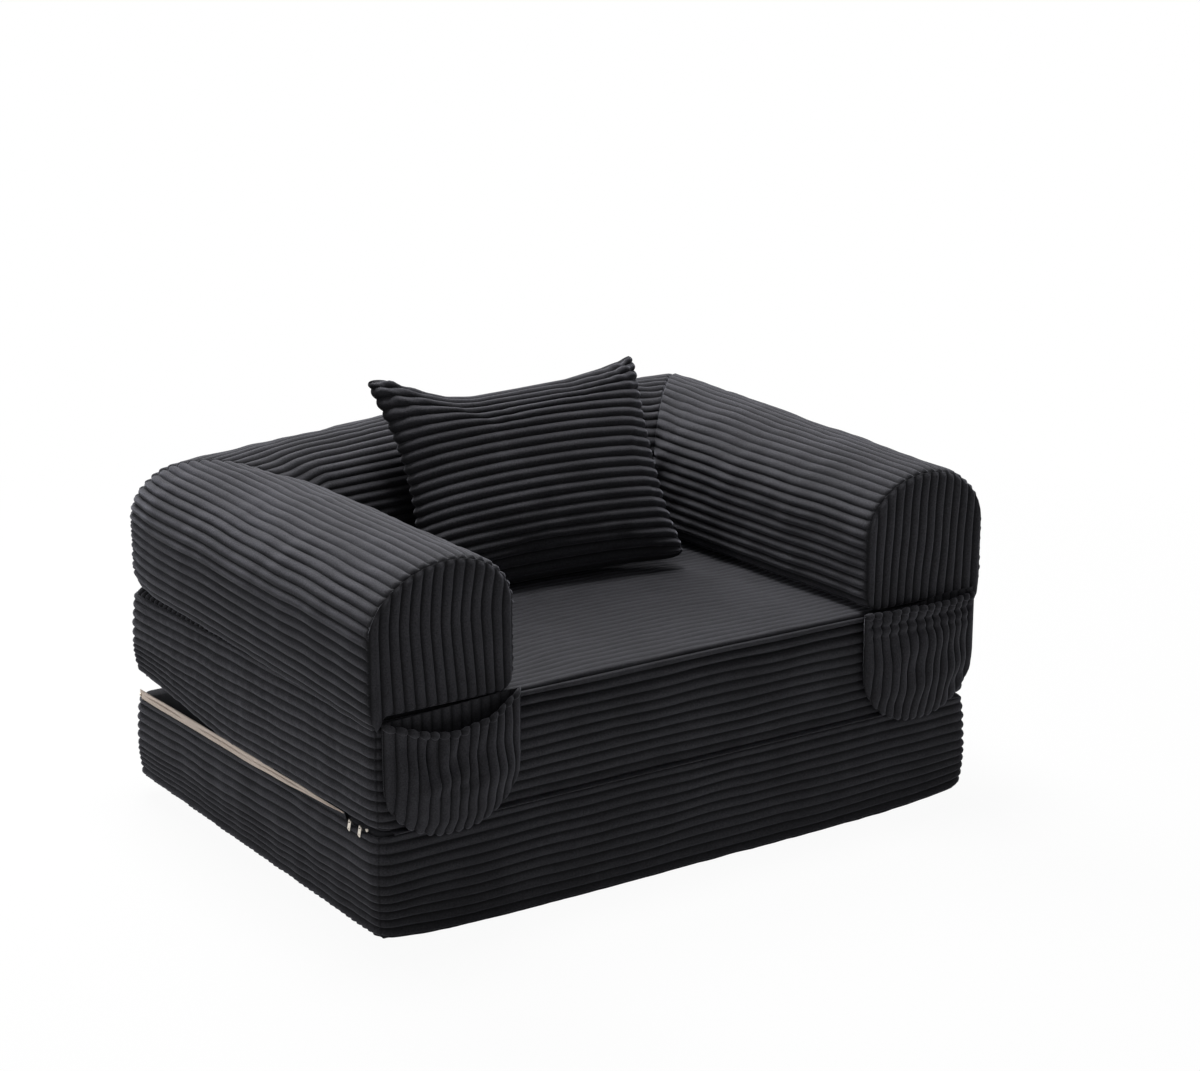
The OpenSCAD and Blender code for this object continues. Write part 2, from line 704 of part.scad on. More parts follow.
module zip_pull(place) {
    color(pull_silver)
        zip_frame(place, slider_up + slider_h + slider_gap)
            rotate([0, 0, -pull_angle])
                linear_extrude(height = pull_t)
                    difference() {
                        union() {
                            circle(pull_w/2);
                            translate([0, pull_l - pull_w]) circle(pull_w/2);
                            translate([-pull_w/2, 0]) square([pull_w, pull_l - pull_w]);
                        }
                        circle(rivet_r + rivet_gap);
                        translate([0, pull_l - pull_w]) circle(pull_w/4);
                    }
}
module zip_slider_front() {
    zip_slider(slider_place);
}
module zip_slider_rear() {
    zip_slider(slider_place + slider_space);
}
module zip_pull_front() {
    zip_pull(slider_place);
}
module zip_pull_rear() {
    zip_pull(slider_place + slider_space);
}

seat_cover();
seat_foam();
seat_grip_panel();
seat_loop_tapes();
fold_hinge_strip();
base_cover();
base_foam();
base_grip_panel();
base_zip_tape();
base_zip_coil();
base_zip_stops();
bolster_cover_left();
bolster_cover_back();
bolster_cover_right();
bolster_foam_left();
bolster_foam_back();
bolster_foam_right();
bolster_end_panel_left();
bolster_end_panel_right();
bolster_hook_tapes();
pocket_backing_left();
pocket_pouch_left();
pocket_binding_left();
pocket_backing_right();
pocket_pouch_right();
pocket_binding_right();
pillow_cover();
pillow_filling();
zip_slider_front();
zip_slider_rear();
zip_pull_front();
zip_pull_rear();
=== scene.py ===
import bpy
import bmesh
import math
import numpy as np
from mathutils import Matrix, Vector
from mathutils.kdtree import KDTree


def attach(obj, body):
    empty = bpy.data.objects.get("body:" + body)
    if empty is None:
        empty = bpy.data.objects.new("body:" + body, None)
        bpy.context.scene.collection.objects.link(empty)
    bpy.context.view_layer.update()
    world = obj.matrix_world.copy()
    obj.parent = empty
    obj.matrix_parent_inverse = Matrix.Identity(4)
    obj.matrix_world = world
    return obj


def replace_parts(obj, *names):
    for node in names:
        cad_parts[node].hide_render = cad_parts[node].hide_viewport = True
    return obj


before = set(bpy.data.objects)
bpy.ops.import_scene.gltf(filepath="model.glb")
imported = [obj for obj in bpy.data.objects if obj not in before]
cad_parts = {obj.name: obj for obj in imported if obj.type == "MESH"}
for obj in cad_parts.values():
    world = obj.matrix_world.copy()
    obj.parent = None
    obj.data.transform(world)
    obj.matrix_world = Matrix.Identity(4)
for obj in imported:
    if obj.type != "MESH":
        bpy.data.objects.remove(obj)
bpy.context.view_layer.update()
mm = 0.001
print("frame loaded:", len(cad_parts), "nodes")

ribSteps = {
    "plain": [0, 0.1, 0.3, 0.5, 0.7, 0.9],
    "fine": [0, 0.06, 0.18, 0.34, 0.5, 0.66, 0.82, 0.94],
}
ribPower = 1.9
driftWaves = 8


def ramp(value):
    return np.clip(value, 0, 1)


def soften(value):  # 0 to 1 with level ends
    value = ramp(value)
    return value*value*(3 - 2*value)


def mix(a, b, t):
    return a + (b - a)*t


def drift(points, length, seed):  # soft waves in many directions, mostly between -1 and 1
    rng = np.random.default_rng(seed)
    total = np.zeros(len(points))
    for _ in range(driftWaves):
        way = rng.normal(size=3)
        way /= np.linalg.norm(way)
        total += np.sin(points @ way*(2*math.pi/length*rng.uniform(0.6, 1.6)) + rng.uniform(0, 2*math.pi))
    return total/math.sqrt(driftWaves)


def drifts(points, waves, seed):  # several drifts in one, each with its height and length
    return sum(height*drift(points, length, seed + k) for k, (height, length) in enumerate(waves))


def ridge(phase):  # 1 on a cord's crown and 0 in the groove beside it
    return 1 - np.abs(2*(phase - np.floor(phase)) - 1)**ribPower


def ribRows(ribs, steps="plain"):  # rows of a mesh, so that each groove and crown has its own
    return np.append((np.arange(ribs)[:, None] + ribSteps[steps]).ravel(), ribs)/ribs


def evenRows(length, pitch, edge=(0,)):  # even rows, with closer ones at the distances in edge from both ends
    edge = np.array(edge)
    middle = length - 2*edge[-1]
    inner = np.linspace(edge[-1], length - edge[-1], max(2, round(middle/pitch)) + 1)
    return np.concatenate([edge[:-1], inner, (length - edge[:-1])[::-1]])/length


def gridNormals(grid):  # unit normals of a grid of points
    normal = np.cross(np.gradient(grid, axis=1), np.gradient(grid, axis=0))
    return normal/np.maximum(np.linalg.norm(normal, axis=2, keepdims=True), 1e-9)


def gridSpots(made, columns, rows):  # each new vertex's column and row in a grid that create_grid made
    at = np.array([vert.co[:2] for vert in made]) + 0.5
    return np.rint(at[:, 0]*columns).astype(int), np.rint(at[:, 1]*rows).astype(int)


def link(piece):
    bpy.context.scene.collection.objects.link(piece)
    return piece


def makePiece(bm, name, body, material, smooth=True):
    bmesh.ops.recalc_face_normals(bm, faces=bm.faces)
    for face in bm.faces:
        face.smooth = smooth
    mesh = bpy.data.meshes.new(name)
    bm.to_mesh(mesh)
    bm.free()
    mesh.materials.append(material)
    piece = link(bpy.data.objects.new(name, mesh))
    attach(piece, body)
    return piece


def newCloth(name):
    bm = bmesh.new()
    return bm, bm.verts.layers.float.new("ribAndPaintedShade"), name


def sewPatch(cloth, columns, rows, place):
    bm, ribLayer, _ = cloth
    nc, nr = len(columns) - 1, len(rows) - 1
    made = bmesh.ops.create_grid(bm, x_segments=nc, y_segments=nr, size=0.5)["verts"]
    i, j = gridSpots(made, nc, nr)
    points, crown = place(columns[i], rows[j], i, j)
    for vert, point, height in zip(made, points*mm, crown):
        vert.co = point
        vert[ribLayer] = height


def finishCloth(cloth, body, material, node=None, slot="corduroy", weld=0.05):
    bm, _, name = cloth
    bmesh.ops.remove_doubles(bm, verts=bm.verts, dist=weld*mm)
    bmesh.ops.dissolve_degenerate(bm, dist=0.0001*mm, edges=bm.edges)
    piece = makePiece(bm, name, body, material)
    if node:
        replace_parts(piece, node)
    return piece


def sewOne(name, columns, rows, place, *finish, **more):  # a piece of one patch
    cloth = newCloth(name)
    sewPatch(cloth, columns, rows, place)
    return finishCloth(cloth, *finish, **more)


def thicken(piece, thick, offset=0):
    back = piece.modifiers.new("clothBack", "SOLIDIFY")
    back.thickness = thick*mm
    back.offset = offset


def nodeMaterial(name):
    material = bpy.data.materials.new(name)
    material.use_nodes = True
    tree = material.node_tree
    return material, tree, next(n for n in tree.nodes if n.type == "BSDF_PRINCIPLED")


def fill(tree, node, inputs):  # an input takes a number, a colour or another node's output
    for key, value in inputs.items():
        if isinstance(value, bpy.types.NodeSocket):
            tree.links.new(value, node.inputs[key])
        else:
            node.inputs[key].default_value = value


def addNode(tree, kind, inputs=None, **settings):
    node = tree.nodes.new("ShaderNode" + kind)
    for key, value in settings.items():
        setattr(node, key, value)
    fill(tree, node, inputs or {})
    return node


def maths(tree, operation, a, b):
    return addNode(tree, "Math", {0: a, 1: b}, operation=operation).outputs[0]


pile = {
    "fibreDetail": 3, "fibreRough": 0.7, "fibreRange": (0.3, 0.7), "patchScale": 9, "patchDetail": 4,
    "patchTwist": 0.8, "patchRange": (0.35, 0.65), "crownAt": 1.05, "rough": (0.82, 0.98),
    "sockets": {
        "INPUT": {"Vector": "Vector", "Rib": "Float", "Colour": "Color", "Groove Painted Shade": "Float",
                  "Fibre Scale": "Float", "Fibre Strength": "Float", "Patch Strength": "Float"},
        "OUTPUT": {"Colour": "Color", "Height": "Float", "Roughness": "Float"},
    },
}


def makePileGroup():  # fibres, brushed patches and painted shade in the grooves, for every woven or brushed cloth
    group = bpy.data.node_groups.new("clothPile", "ShaderNodeTree")
    for way, labels in pile["sockets"].items():
        for label, kind in labels.items():
            group.interface.new_socket(label, in_out=way, socket_type="NodeSocket" + kind)
    given = group.nodes.new("NodeGroupInput").outputs

    def shade(mask, reach, strength, curve):  # from 1 - strength to 1 + strength
        return addNode(group, "MapRange", {
            "Value": mask, "From Min": reach[0], "From Max": reach[1],
            "To Min": maths(group, "SUBTRACT", 1, strength), "To Max": maths(group, "ADD", 1, strength),
        }, interpolation_type=curve).outputs["Result"]

    fibre = addNode(group, "TexNoise", {
        "Vector": given["Vector"], "Scale": given["Fibre Scale"],
        "Detail": pile["fibreDetail"], "Roughness": pile["fibreRough"],
    }).outputs["Fac"]
    patch = addNode(group, "TexNoise", {
        "Vector": given["Vector"], "Scale": pile["patchScale"],
        "Detail": pile["patchDetail"], "Distortion": pile["patchTwist"],
    }).outputs["Fac"]
    # painted shade: the colour darkens from each cord's crown into the groove beside it
    groove = addNode(group, "MapRange", {
        "Value": given["Rib"], "From Max": pile["crownAt"],
        "To Min": maths(group, "SUBTRACT", 1, given["Groove Painted Shade"]),
    }, interpolation_type="SMOOTHSTEP").outputs["Result"]
    shades = maths(group, "MULTIPLY", shade(fibre, pile["fibreRange"], given["Fibre Strength"], "LINEAR"),
                   shade(patch, pile["patchRange"], given["Patch Strength"], "SMOOTHSTEP"))
    tint = addNode(group, "VectorMath", {
        0: given["Colour"], "Scale": maths(group, "MULTIPLY", shades, groove),
    }, operation="SCALE")
    low, high = pile["rough"]
    dull = addNode(group, "MapRange", {"Value": patch, "To Min": low, "To Max": high})
    fill(group, group.nodes.new("NodeGroupOutput"), {
        "Colour": tint.outputs[0], "Height": fibre, "Roughness": dull.outputs["Result"],
    })
    return group


pileGroup = makePileGroup()
plainLook = {
    "ribbed": False, "groovePaintedShade": 0, "gloss": 0.15, "sheenRough": 0.5, "sheenTint": (0.8, 0.8, 0.9),
}


def clothMaterial(name, look):
    look = {**plainLook, **look}
    material, tree, shader = nodeMaterial(name)
    cloth = addNode(tree, "Group", {
        "Vector": addNode(tree, "TexCoord").outputs["Object"],
        "Rib": addNode(tree, "Attribute", attribute_name="ribAndPaintedShade").outputs["Fac"] if look["ribbed"] else 1,
        "Colour": (*look["colour"], 1), "Groove Painted Shade": look["groovePaintedShade"],
        "Fibre Scale": look["fibreScale"],
        "Fibre Strength": look["fibreStrength"], "Patch Strength": look["patchStrength"],
    }, node_tree=pileGroup).outputs
    bump = addNode(tree, "Bump", {
        "Strength": look["bump"], "Distance": look["bumpDepth"], "Height": cloth["Height"],
    })
    fill(tree, shader, {
        "Normal": bump.outputs["Normal"], "Base Color": cloth["Colour"], "Roughness": cloth["Roughness"],
        "Specular IOR Level": look["gloss"], "Sheen Weight": look["sheen"],
        "Sheen Roughness": look["sheenRough"], "Sheen Tint": (*look["sheenTint"], 1),
    })
    return material


corduroy = clothMaterial("charcoalCorduroy", {
    "colour": (0.04, 0.0395, 0.0445), "ribbed": True, "groovePaintedShade": 0.72,
    "fibreScale": 430, "fibreStrength": 0.36, "patchStrength": 0.16,
    "bump": 0.6, "bumpDepth": 0.0012, "sheen": 0.26, "sheenRough": 0.4, "sheenTint": (0.74, 0.75, 0.86),
})
lining = clothMaterial("darkLining", {
    "colour": (0.026, 0.026, 0.03), "fibreScale": 1400, "fibreStrength": 0.2, "patchStrength": 0.06,
    "bump": 0.4, "bumpDepth": 0.0003, "sheen": 0.05,
})
thread = clothMaterial("seamThread", {
    "colour": (0.012, 0.012, 0.015), "fibreScale": 2500, "fibreStrength": 0.35, "patchStrength": 0.05,
    "bump": 0.5, "bumpDepth": 0.0002, "gloss": 0.4, "sheen": 0.1,
})
foam = clothMaterial("creamFoam", {
    "colour": (0.78, 0.74, 0.6), "fibreScale": 420, "fibreStrength": 0.12, "patchStrength": 0.08,
    "bump": 0.6, "bumpDepth": 0.001, "sheen": 0,
})
hookCloth = clothMaterial("hookAndLoop", {
    "colour": (0.013, 0.013, 0.015), "fibreScale": 1800, "fibreStrength": 0.6, "patchStrength": 0.05,
    "bump": 0.9, "bumpDepth": 0.0012, "gloss": 0.5, "sheen": 0.3,
})
zipCloth = clothMaterial("creamZipTape", {
    "colour": (0.62, 0.53, 0.46), "fibreScale": 1600, "fibreStrength": 0.14, "patchStrength": 0.05,
    "bump": 0.6, "bumpDepth": 0.0003, "sheen": 0.05,
})
wearLook = {
    "scale": 260, "detail": 5, "ramp": [(0.35, 0.72), (0.62, 1)], "rub": (-0.08, 0.12),
    "bump": (0.15, 0.0002),
}


def metalMaterial(name, colour, rough):
    material, tree, shader = nodeMaterial(name)
    place = addNode(tree, "TexCoord").outputs["Object"]
    wear = addNode(tree, "TexNoise", {
        "Vector": place, "Scale": wearLook["scale"], "Detail": wearLook["detail"],
    }).outputs["Fac"]
    tone = addNode(tree, "ValToRGB", {"Fac": wear})
    for end, (spot, shade) in zip(tone.color_ramp.elements, wearLook["ramp"]):
        end.position = spot
        end.color = (*[c*shade for c in colour], 1)
    low, high = wearLook["rub"]
    rub = addNode(tree, "MapRange", {"Value": wear, "To Min": rough + low, "To Max": rough + high})
    strength, deep = wearLook["bump"]
    bump = addNode(tree, "Bump", {"Strength": strength, "Distance": deep, "Height": wear})
    fill(tree, shader, {
        "Base Color": tone.outputs["Color"], "Roughness": rub.outputs["Result"],
        "Normal": bump.outputs["Normal"], "Metallic": 1,
    })
    return material


zipMetal = metalMaterial("zipMetal", (0.72, 0.66, 0.58), 0.34)
sliderMetal = metalMaterial("sliderMetal", (0.035, 0.034, 0.036), 0.38)
print("materials ready")


def addBlob(bm, centre, axes, size):  # a rounded grain along three given ways
    made = bmesh.ops.create_icosphere(bm, subdivisions=1, radius=0.5)["verts"]
    turn = np.array(axes).T*np.array(size)
    for vert in made:
        vert.co = (turn @ np.array(vert.co) + centre)*mm


def sewStitches(name, body, places, size):  # one dark thread at each place: where, along, across
    bm = bmesh.new()
    for spot, along, across in places:
        addBlob(bm, spot, [along, across, np.cross(along, across)], size)
    makePiece(bm, name, body, thread)


block = {
    "width": 1068, "depth": 762, "height": 166, "frontY": -369.7, "seatZ": 166.4,
    "cornerRound": 28, "edgeRound": 16, "footRound": 10, "swell": 4, "ribs": 11, "topRibs": 50,
    "ribDepth": 5.6, "fullLift": 0.8, "faceFrom": 0.9, "core": [0.9, 0.9, 0], "apart": (300, 77, 31),
    "stitchNear": 0.01, "stitchWithin": 0.49,
    "pitch": 14, "edgeRows": [0, 3, 7, 12, 18, 25, 34, 46], "backDrop": 2, "backLift": 34, "liftRun": 0.4,
    "footLift": 15, "liftFade": ([0, 14, 20, 60, 120], [1, 1, 0.7, 0.25, 0]), "crown": 10, "crownIn": 50,
    "panel": 1.5, "panelEdge": 20, "panelRun": 40, "fluff": 1.6, "frontFluff": 0.9, "stitch": (5, 2.2, 1.8),
    "stitchIn": 0.4, "innerHalf": 308, "innerY": 166.3, "creaseRun": 60, "seamRun": 3.5, "seamShare": 0.42,
    "wave": 1.1, "waveLong": 190, "topShare": 0.38, "awayRun": 30, "lumps": [(0.1, 60), (0.06, 21)],
    "lumpRange": (0.6, 1.15), "hollows": [(0.9, 240), (0.5, 70)], "hollow": 0.8, "plainRun": 10,
    "tucks": [(1, 30, 4), (0.7, 15, 3.5)], "tuckDeep": 4.4, "tuckWave": (0.75, 0.5, 330), "tuckRun": 90,
    "paintedTopShade": (0.14, 0.2), "liningEdge": 14, "liningLow": 42, "liningHigh": 40,
}
blockHalf = np.array([block["width"], block["depth"], block["height"]])/2
blockMid = block["frontY"] + blockHalf[1]


def blockCrown(x, y):
    across = np.maximum(0, 1 - (x/(block["innerHalf"] - block["crownIn"]))**2)
    along = ramp((y - block["frontY"])/(block["innerY"] - block["frontY"]))
    return block["crown"]*across*np.sin(math.pi*along)**0.6


def planRound(p):  # upright corners: the point in plan, its way out, and its distance from the outline
    radius = block["cornerRound"]
    q = np.clip(p[:, :2], -(blockHalf[:2] - radius), blockHalf[:2] - radius)
    away = (p[:, :2] - q)/radius
    largest = np.abs(away).max(axis=1, keepdims=True)
    length = np.maximum(np.linalg.norm(away, axis=1, keepdims=True), 1e-9)
    corner = np.abs(away).min(axis=1, keepdims=True) > 0
    moved = np.where(corner, away*largest/length, away)
    toSide = blockHalf[:2] - np.abs(p[:, :2])
    nearX = (toSide[:, 0] < toSide[:, 1])[:, None]
    straight = np.where(nearX, np.sign(p[:, :1])*[[1, 0]], np.sign(p[:, 1:2])*[[0, 1]])
    wayOut = np.where(corner, away/length, straight)
    inset = np.where(corner[:, 0], radius*(1 - np.linalg.norm(moved, axis=1)), toSide.min(axis=1))
    return q + radius*moved, wayOut, np.maximum(inset, 0)


def blockPoint(face, s, t, baseZ, lift, drop, sides, seat):
    axis, way = face
    others = [k for k in range(3) if k != axis]
    p = np.zeros((len(s), 3))
    p[:, axis] = way*blockHalf[axis]
    p[:, others[0]] = blockHalf[others[0]]*(2*s - 1)
    p[:, others[1]] = blockHalf[others[1]]*(2*t - 1)
    plan, wayOut, inset = planRound(p)
    radius = np.where((p[:, 2] < 0) & (not seat), block["footRound"], block["edgeRound"])
    side = ramp(1 - inset/radius)
    tall = ramp(1 - (blockHalf[2] - np.abs(p[:, 2]))/radius)
    atCrease = (plan[:, 1] < 0)*(p[:, 2]*(-1 if seat else 1) > 0)*(wayOut[:, 1] < -0.5)
    toCrease = atCrease*soften((blockHalf[0] - np.abs(p[:, 0]))/block["creaseRun"])
    power = 2 + 4*toCrease  # a squarer edge where the two blocks meet
    both = np.maximum((side**power + tall**power)**(1/power), 1)
    inwards = np.where(side > 0, radius*(1 - side/both), inset) - inset
    plan = plan - wayOut*inwards[:, None]
    level = np.where(tall > 0, blockHalf[2] - radius*(1 - tall/both), np.abs(p[:, 2]))*np.sign(p[:, 2])
    p = np.concatenate([plan, level[:, None]], axis=1)
    up = p[:, 2]/blockHalf[2]
    p[:, :2] *= 1 - block["swell"]*(up*up)[:, None]/blockHalf[:2]
    inset = np.minimum(*(blockHalf[:2] - np.abs(p[:, :2])).T)
    edge = np.interp(inset, *block["liftFade"])
    y = p[:, 1] + blockMid
    back = ramp((y - block["frontY"])/block["depth"])
    full, face = block["fullLift"], block["faceFrom"]
    low, high = ramp((-up)/full)*edge, ramp(up/full)*edge
    z = p[:, 2] + blockHalf[2] + baseZ
    raised = back + (np.abs(p[:, 0])/blockHalf[0])**6 if sides else ramp(1 - (1 - back)/block["liftRun"])
    z += lift*low*raised
    z -= drop*high*back
    flat = block["panel"]*ramp((inset - block["panelEdge"])/block["panelRun"])
    if seat:
        z += blockCrown(p[:, 0], y)*ramp((up - full)/(1 - full)) + flat*(up < -face)
    else:
        z -= flat*(up > face)
    return np.stack([p[:, 0], y, z], axis=1)


def blockCover(name, node, body, seed, baseZ, **shape):
    seat = shape["seat"]
    plainFace = -1 if seat else 1  # the face that lies on the other block is lining
    cloth = newCloth(name)
    across = evenRows(block["width"], block["pitch"], block["edgeRows"])
    deep, tall = ribRows(block["topRibs"]), ribRows(block["ribs"])
    middle = np.array([0, blockMid, baseZ + blockHalf[2]])
    stitches = []
    for face in [(2, 1), (2, -1), (1, -1), (1, 1), (0, 1), (0, -1)]:
        axis, way = face
        level, front = axis == 2, axis == 1 and way < 0
        plain = level and way == plainFace
        ribs = block["topRibs"] if level else block["ribs"]
        spanS = block["depth"] if axis == 0 else block["width"]
        spanT = block["depth"] if level else block["height"]

        def place(s, t, i, j):
            step = 0.0006
            phase = t*ribs
            apart = np.dot(block["apart"], (seed, axis, way))
            sway = np.stack([s*spanS, t*spanT, np.full(len(s), apart)], axis=1)
            inner = np.sin(math.pi*t)*np.sin(math.pi*s)**0.3
            wave = block["wave"]*drift(sway, block["waveLong"], seed)*inner**0.5/spanT
            t = t + (0 if plain else wave)

            def at(a, b):
                return blockPoint(face, a, b, baseZ, **shape)

            p = at(s, t)
            normal = np.cross(at(s + step, t) - at(s - step, t), at(s, t + step) - at(s, t - step))
            normal /= np.linalg.norm(normal, axis=1, keepdims=True)
            centre = middle + (p - middle)*block["core"]
            normal *= np.sign((normal*(p - centre)).sum(axis=1) + 1e-9)[:, None]
            toSeam = np.minimum(s, 1 - s)*spanS
            toEdge = np.minimum(t, 1 - t)*spanT
            away = soften(np.minimum(toSeam, toEdge*2)/block["awayRun"])
            if plain:
                crown = soften(np.minimum(toSeam, toEdge)/block["plainRun"])
                depth = block["ribDepth"]*(1 - crown)
            else:
                fade = mix(0 if level else block["seamShare"], 1, soften(toSeam/block["seamRun"]))
                ribTall = block["ribDepth"]*(mix(1, block["topShare"], away) if level else 1)
                least, most = block["lumpRange"]
                lumps = np.clip(1 + drifts(p, block["lumps"], seed + 5), least, most)/most
                crown = ridge(phase)*fade
                fluff = block["fluff"]*(1 - block["frontFluff"]*away if front else 1)  # the fronts meet
                depth = ribTall*(1 - crown*lumps) - fluff*fade
                depth = depth + (drifts(p, block["hollows"], seed + 1) + block["hollow"])*away
            if front and seat:  # wrinkles under the seat's front edge
                under = (1 - t)*spanT
                tuck = sum(share*np.exp(-((under - low)/wide)**2) for share, low, wide in block["tucks"])
                least, most, length = block["tuckWave"]
                tuck = tuck*(least + most*drift(p, length, seed + 9))*soften(toSeam/block["tuckRun"])
                depth = depth + block["tuckDeep"]*tuck
            sewn = p - normal*depth[:, None]
            if axis == 1:
                near = block["stitchNear"]
                groove = (toSeam < near) & (np.abs(phase - np.rint(phase)) < near)
                groove &= np.abs(t - 0.5) < block["stitchWithin"]
                stitches.extend(zip(sewn[groove], normal[groove]))
            if level and not plain:  # painted shade: away from its edges the level ribbed face (the seat's top, the base's underside) is painted darker, for the shade the arms and pillow cast on the seat
                crown = mix(crown, block["paintedTopShade"][0] + block["paintedTopShade"][1]*crown, away)
            return sewn, crown

        sewPatch(cloth, deep if axis == 0 else across, deep if level else tall, place)
    upright = np.array([0, 0, 1])
    places = [(spot - block["stitchIn"]*out, upright, np.cross(upright, out)) for spot, out in stitches]
    sewStitches(name + "Stitches", body, places, block["stitch"])
    piece = finishCloth(cloth, body, corduroy, node)
    piece.data.materials.append(lining)
    joinZ = baseZ + (block["height"] if plainFace > 0 else 0)
    within = blockHalf - block["liningEdge"]
    for face in piece.data.polygons:
        x, y, z = face.center/mm
        inside = abs(x) < within[0] and abs(y - blockMid) < within[1]
        if inside and abs(z - joinZ) < block["liningLow"] and (z - middle[2])*plainFace > block["liningHigh"]:
            face.material_index = 1
    print(name, "sewn:", len(piece.data.polygons), "faces")


blockCover("seatCover", "seat_cover", "seat", 11, block["seatZ"], lift=block["backLift"], drop=0, sides=False,
           seat=True)
blockCover("baseCover", "base_cover", "base", 23, 0, lift=block["footLift"], drop=block["backDrop"],
           sides=True, seat=False)


bolster = {
    "half": 118, "armX": 426, "backY": 284.3, "baseZ": 334.7, "front": -371.7, "endGap": 3,
    "cornerRun": 141.3, "cornerX": 283, "armHigh": 205, "backHigh": 236,
    "cornerHigh": {"left": 207, "right": 234}, "sway": [(0.0012, 60), (0.0008, 23)], "swayRun": 60,
    "lean": {"left": 16, "right": 0}, "droop": {"left": 27, "right": 21}, "backDroop": 18, "droopRun": 0.12,
    "waist": 110, "square": 0.22, "foot": 1.5, "seamDraw": 2, "seamRun": 25, "backRound": 18,
    "armRibs": 51, "backRibs": 54, "ribDepth": 5.6, "fluff": 2.2, "lump": (0.14, 70), "lumpRange": (0.6, 1.2),
    "hollows": [(1.0, 260), (0.5, 90)], "hollow": 0.9, "underRun": 30, "pucker": 4, "puckerLong": 75,
    "puckerRun": 90, "endRows": [0, 0.8, 2, 4, 8, 14, 21], "endRound": 5, "mitreRun": 0.03,
    "stitch": (7, 2, 1.8), "stitchOut": 0.8, "stitchLow": 12, "armRings": (32, 36), "backRings": 42,
    "seeds": {"left": 31, "right": 47, "back": 53}, "sideShare": 0.8,
    "sweep": [(-90, -8, 160), (-8, 0, 60), (0, 180, 240), (180, 188, 60), (188, 270, 160)],
    "mitreRings": (0.93, 19), "lastRings": [0.955, 0.975, 0.99, 1.0],
}
sweepAngles = np.radians(np.concatenate([[-90], *[np.linspace(*run)[1:] for run in bolster["sweep"]]]))
mitreTurns = list(np.linspace(0, *bolster["mitreRings"])[1:]) + bolster["lastRings"]  # shares of the turn


def lowEdge(u, sine, droop):  # the underside's height at a share of the half width
    low = np.maximum(0, bolster["waist"]*(1 - np.abs(sine)**bolster["square"]) - bolster["foot"])
    return low - droop*ramp((-u - bolster["sideShare"])/bolster["droopRun"])*(1 - low/bolster["waist"])


def bolsterRing(high, droop, lean, draw, rows, turn):  # points across and up, from under the middle and round
    half, waist = bolster["half"] - draw, bolster["waist"]
    sine, cosine = np.sin(sweepAngles), np.cos(sweepAngles)
    u = np.sign(cosine)*np.abs(cosine)**bolster["square"]
    across = np.where(sine >= 0, half*cosine + lean*sine, half*u)
    up = np.where(sine >= 0, waist + (high - waist)*sine, lowEdge(u, sine, droop))
    length = np.concatenate([[0], np.cumsum(np.hypot(np.diff(across), np.diff(up)))])
    across, up = [np.interp(rows*length[-1], length, values) for values in (across, up)]
    return np.where(across < 0, across*(1 - turn**3*bolster["backRound"]/bolster["half"]), across), up


def bolsterSweep(name, node, rings, rows, ribs, seed, endDip, mitre):
    grid = np.stack(rings, axis=1)
    normal = gridNormals(grid)
    middle = grid.mean(axis=0, keepdims=True)
    normal *= np.sign((normal*(grid - middle)).sum(axis=2, keepdims=True).mean())
    for ring, (share, across, other) in enumerate(mitre):  # both covers sink the same way where they meet
        normal[:, ring] += share*(normal[:, ring] @ across)[:, None]*np.array(other)
    flat, shape = grid.reshape(-1, 3), grid.shape[:2]

    def waves(*settings):
        return drift(flat, *settings).reshape(shape)

    height, length = bolster["lump"]
    least, most = bolster["lumpRange"]
    crown = ridge(rows*ribs)[:, None]*np.clip(1 + height*waves(length, seed), least, most)/most
    crown = crown*(1 - endDip[None, :])
    under = soften((grid[:, :, 2] - bolster["baseZ"])/bolster["underRun"])
    corner = np.array([share*(1 - share) for share, _, _ in mitre])*4
    for toCorner in (bolster["armX"] - np.abs(grid[:, :, 0]), bolster["backY"] - grid[:, :, 1]):
        corner = corner*soften(toCorner/bolster["puckerRun"])
    soft = drifts(flat, bolster["hollows"], seed + 1).reshape(shape) + bolster["hollow"] - bolster["fluff"]
    soft = soft + bolster["pucker"]*waves(bolster["puckerLong"], seed + 3)*corner
    depth = bolster["ribDepth"]*(1 - crown) + soft*under*(1 - endDip[None, :])
    sewn = grid - normal*depth[:, :, None]

    def place(s, t, i, j):
        return sewn[j, i], crown[j, i]

    piece = sewOne(name, np.linspace(0, 1, shape[1]), rows, place, "bolster", corduroy, node)
    print(name, "sewn:", len(piece.data.polygons), "faces")
    return sewn, normal


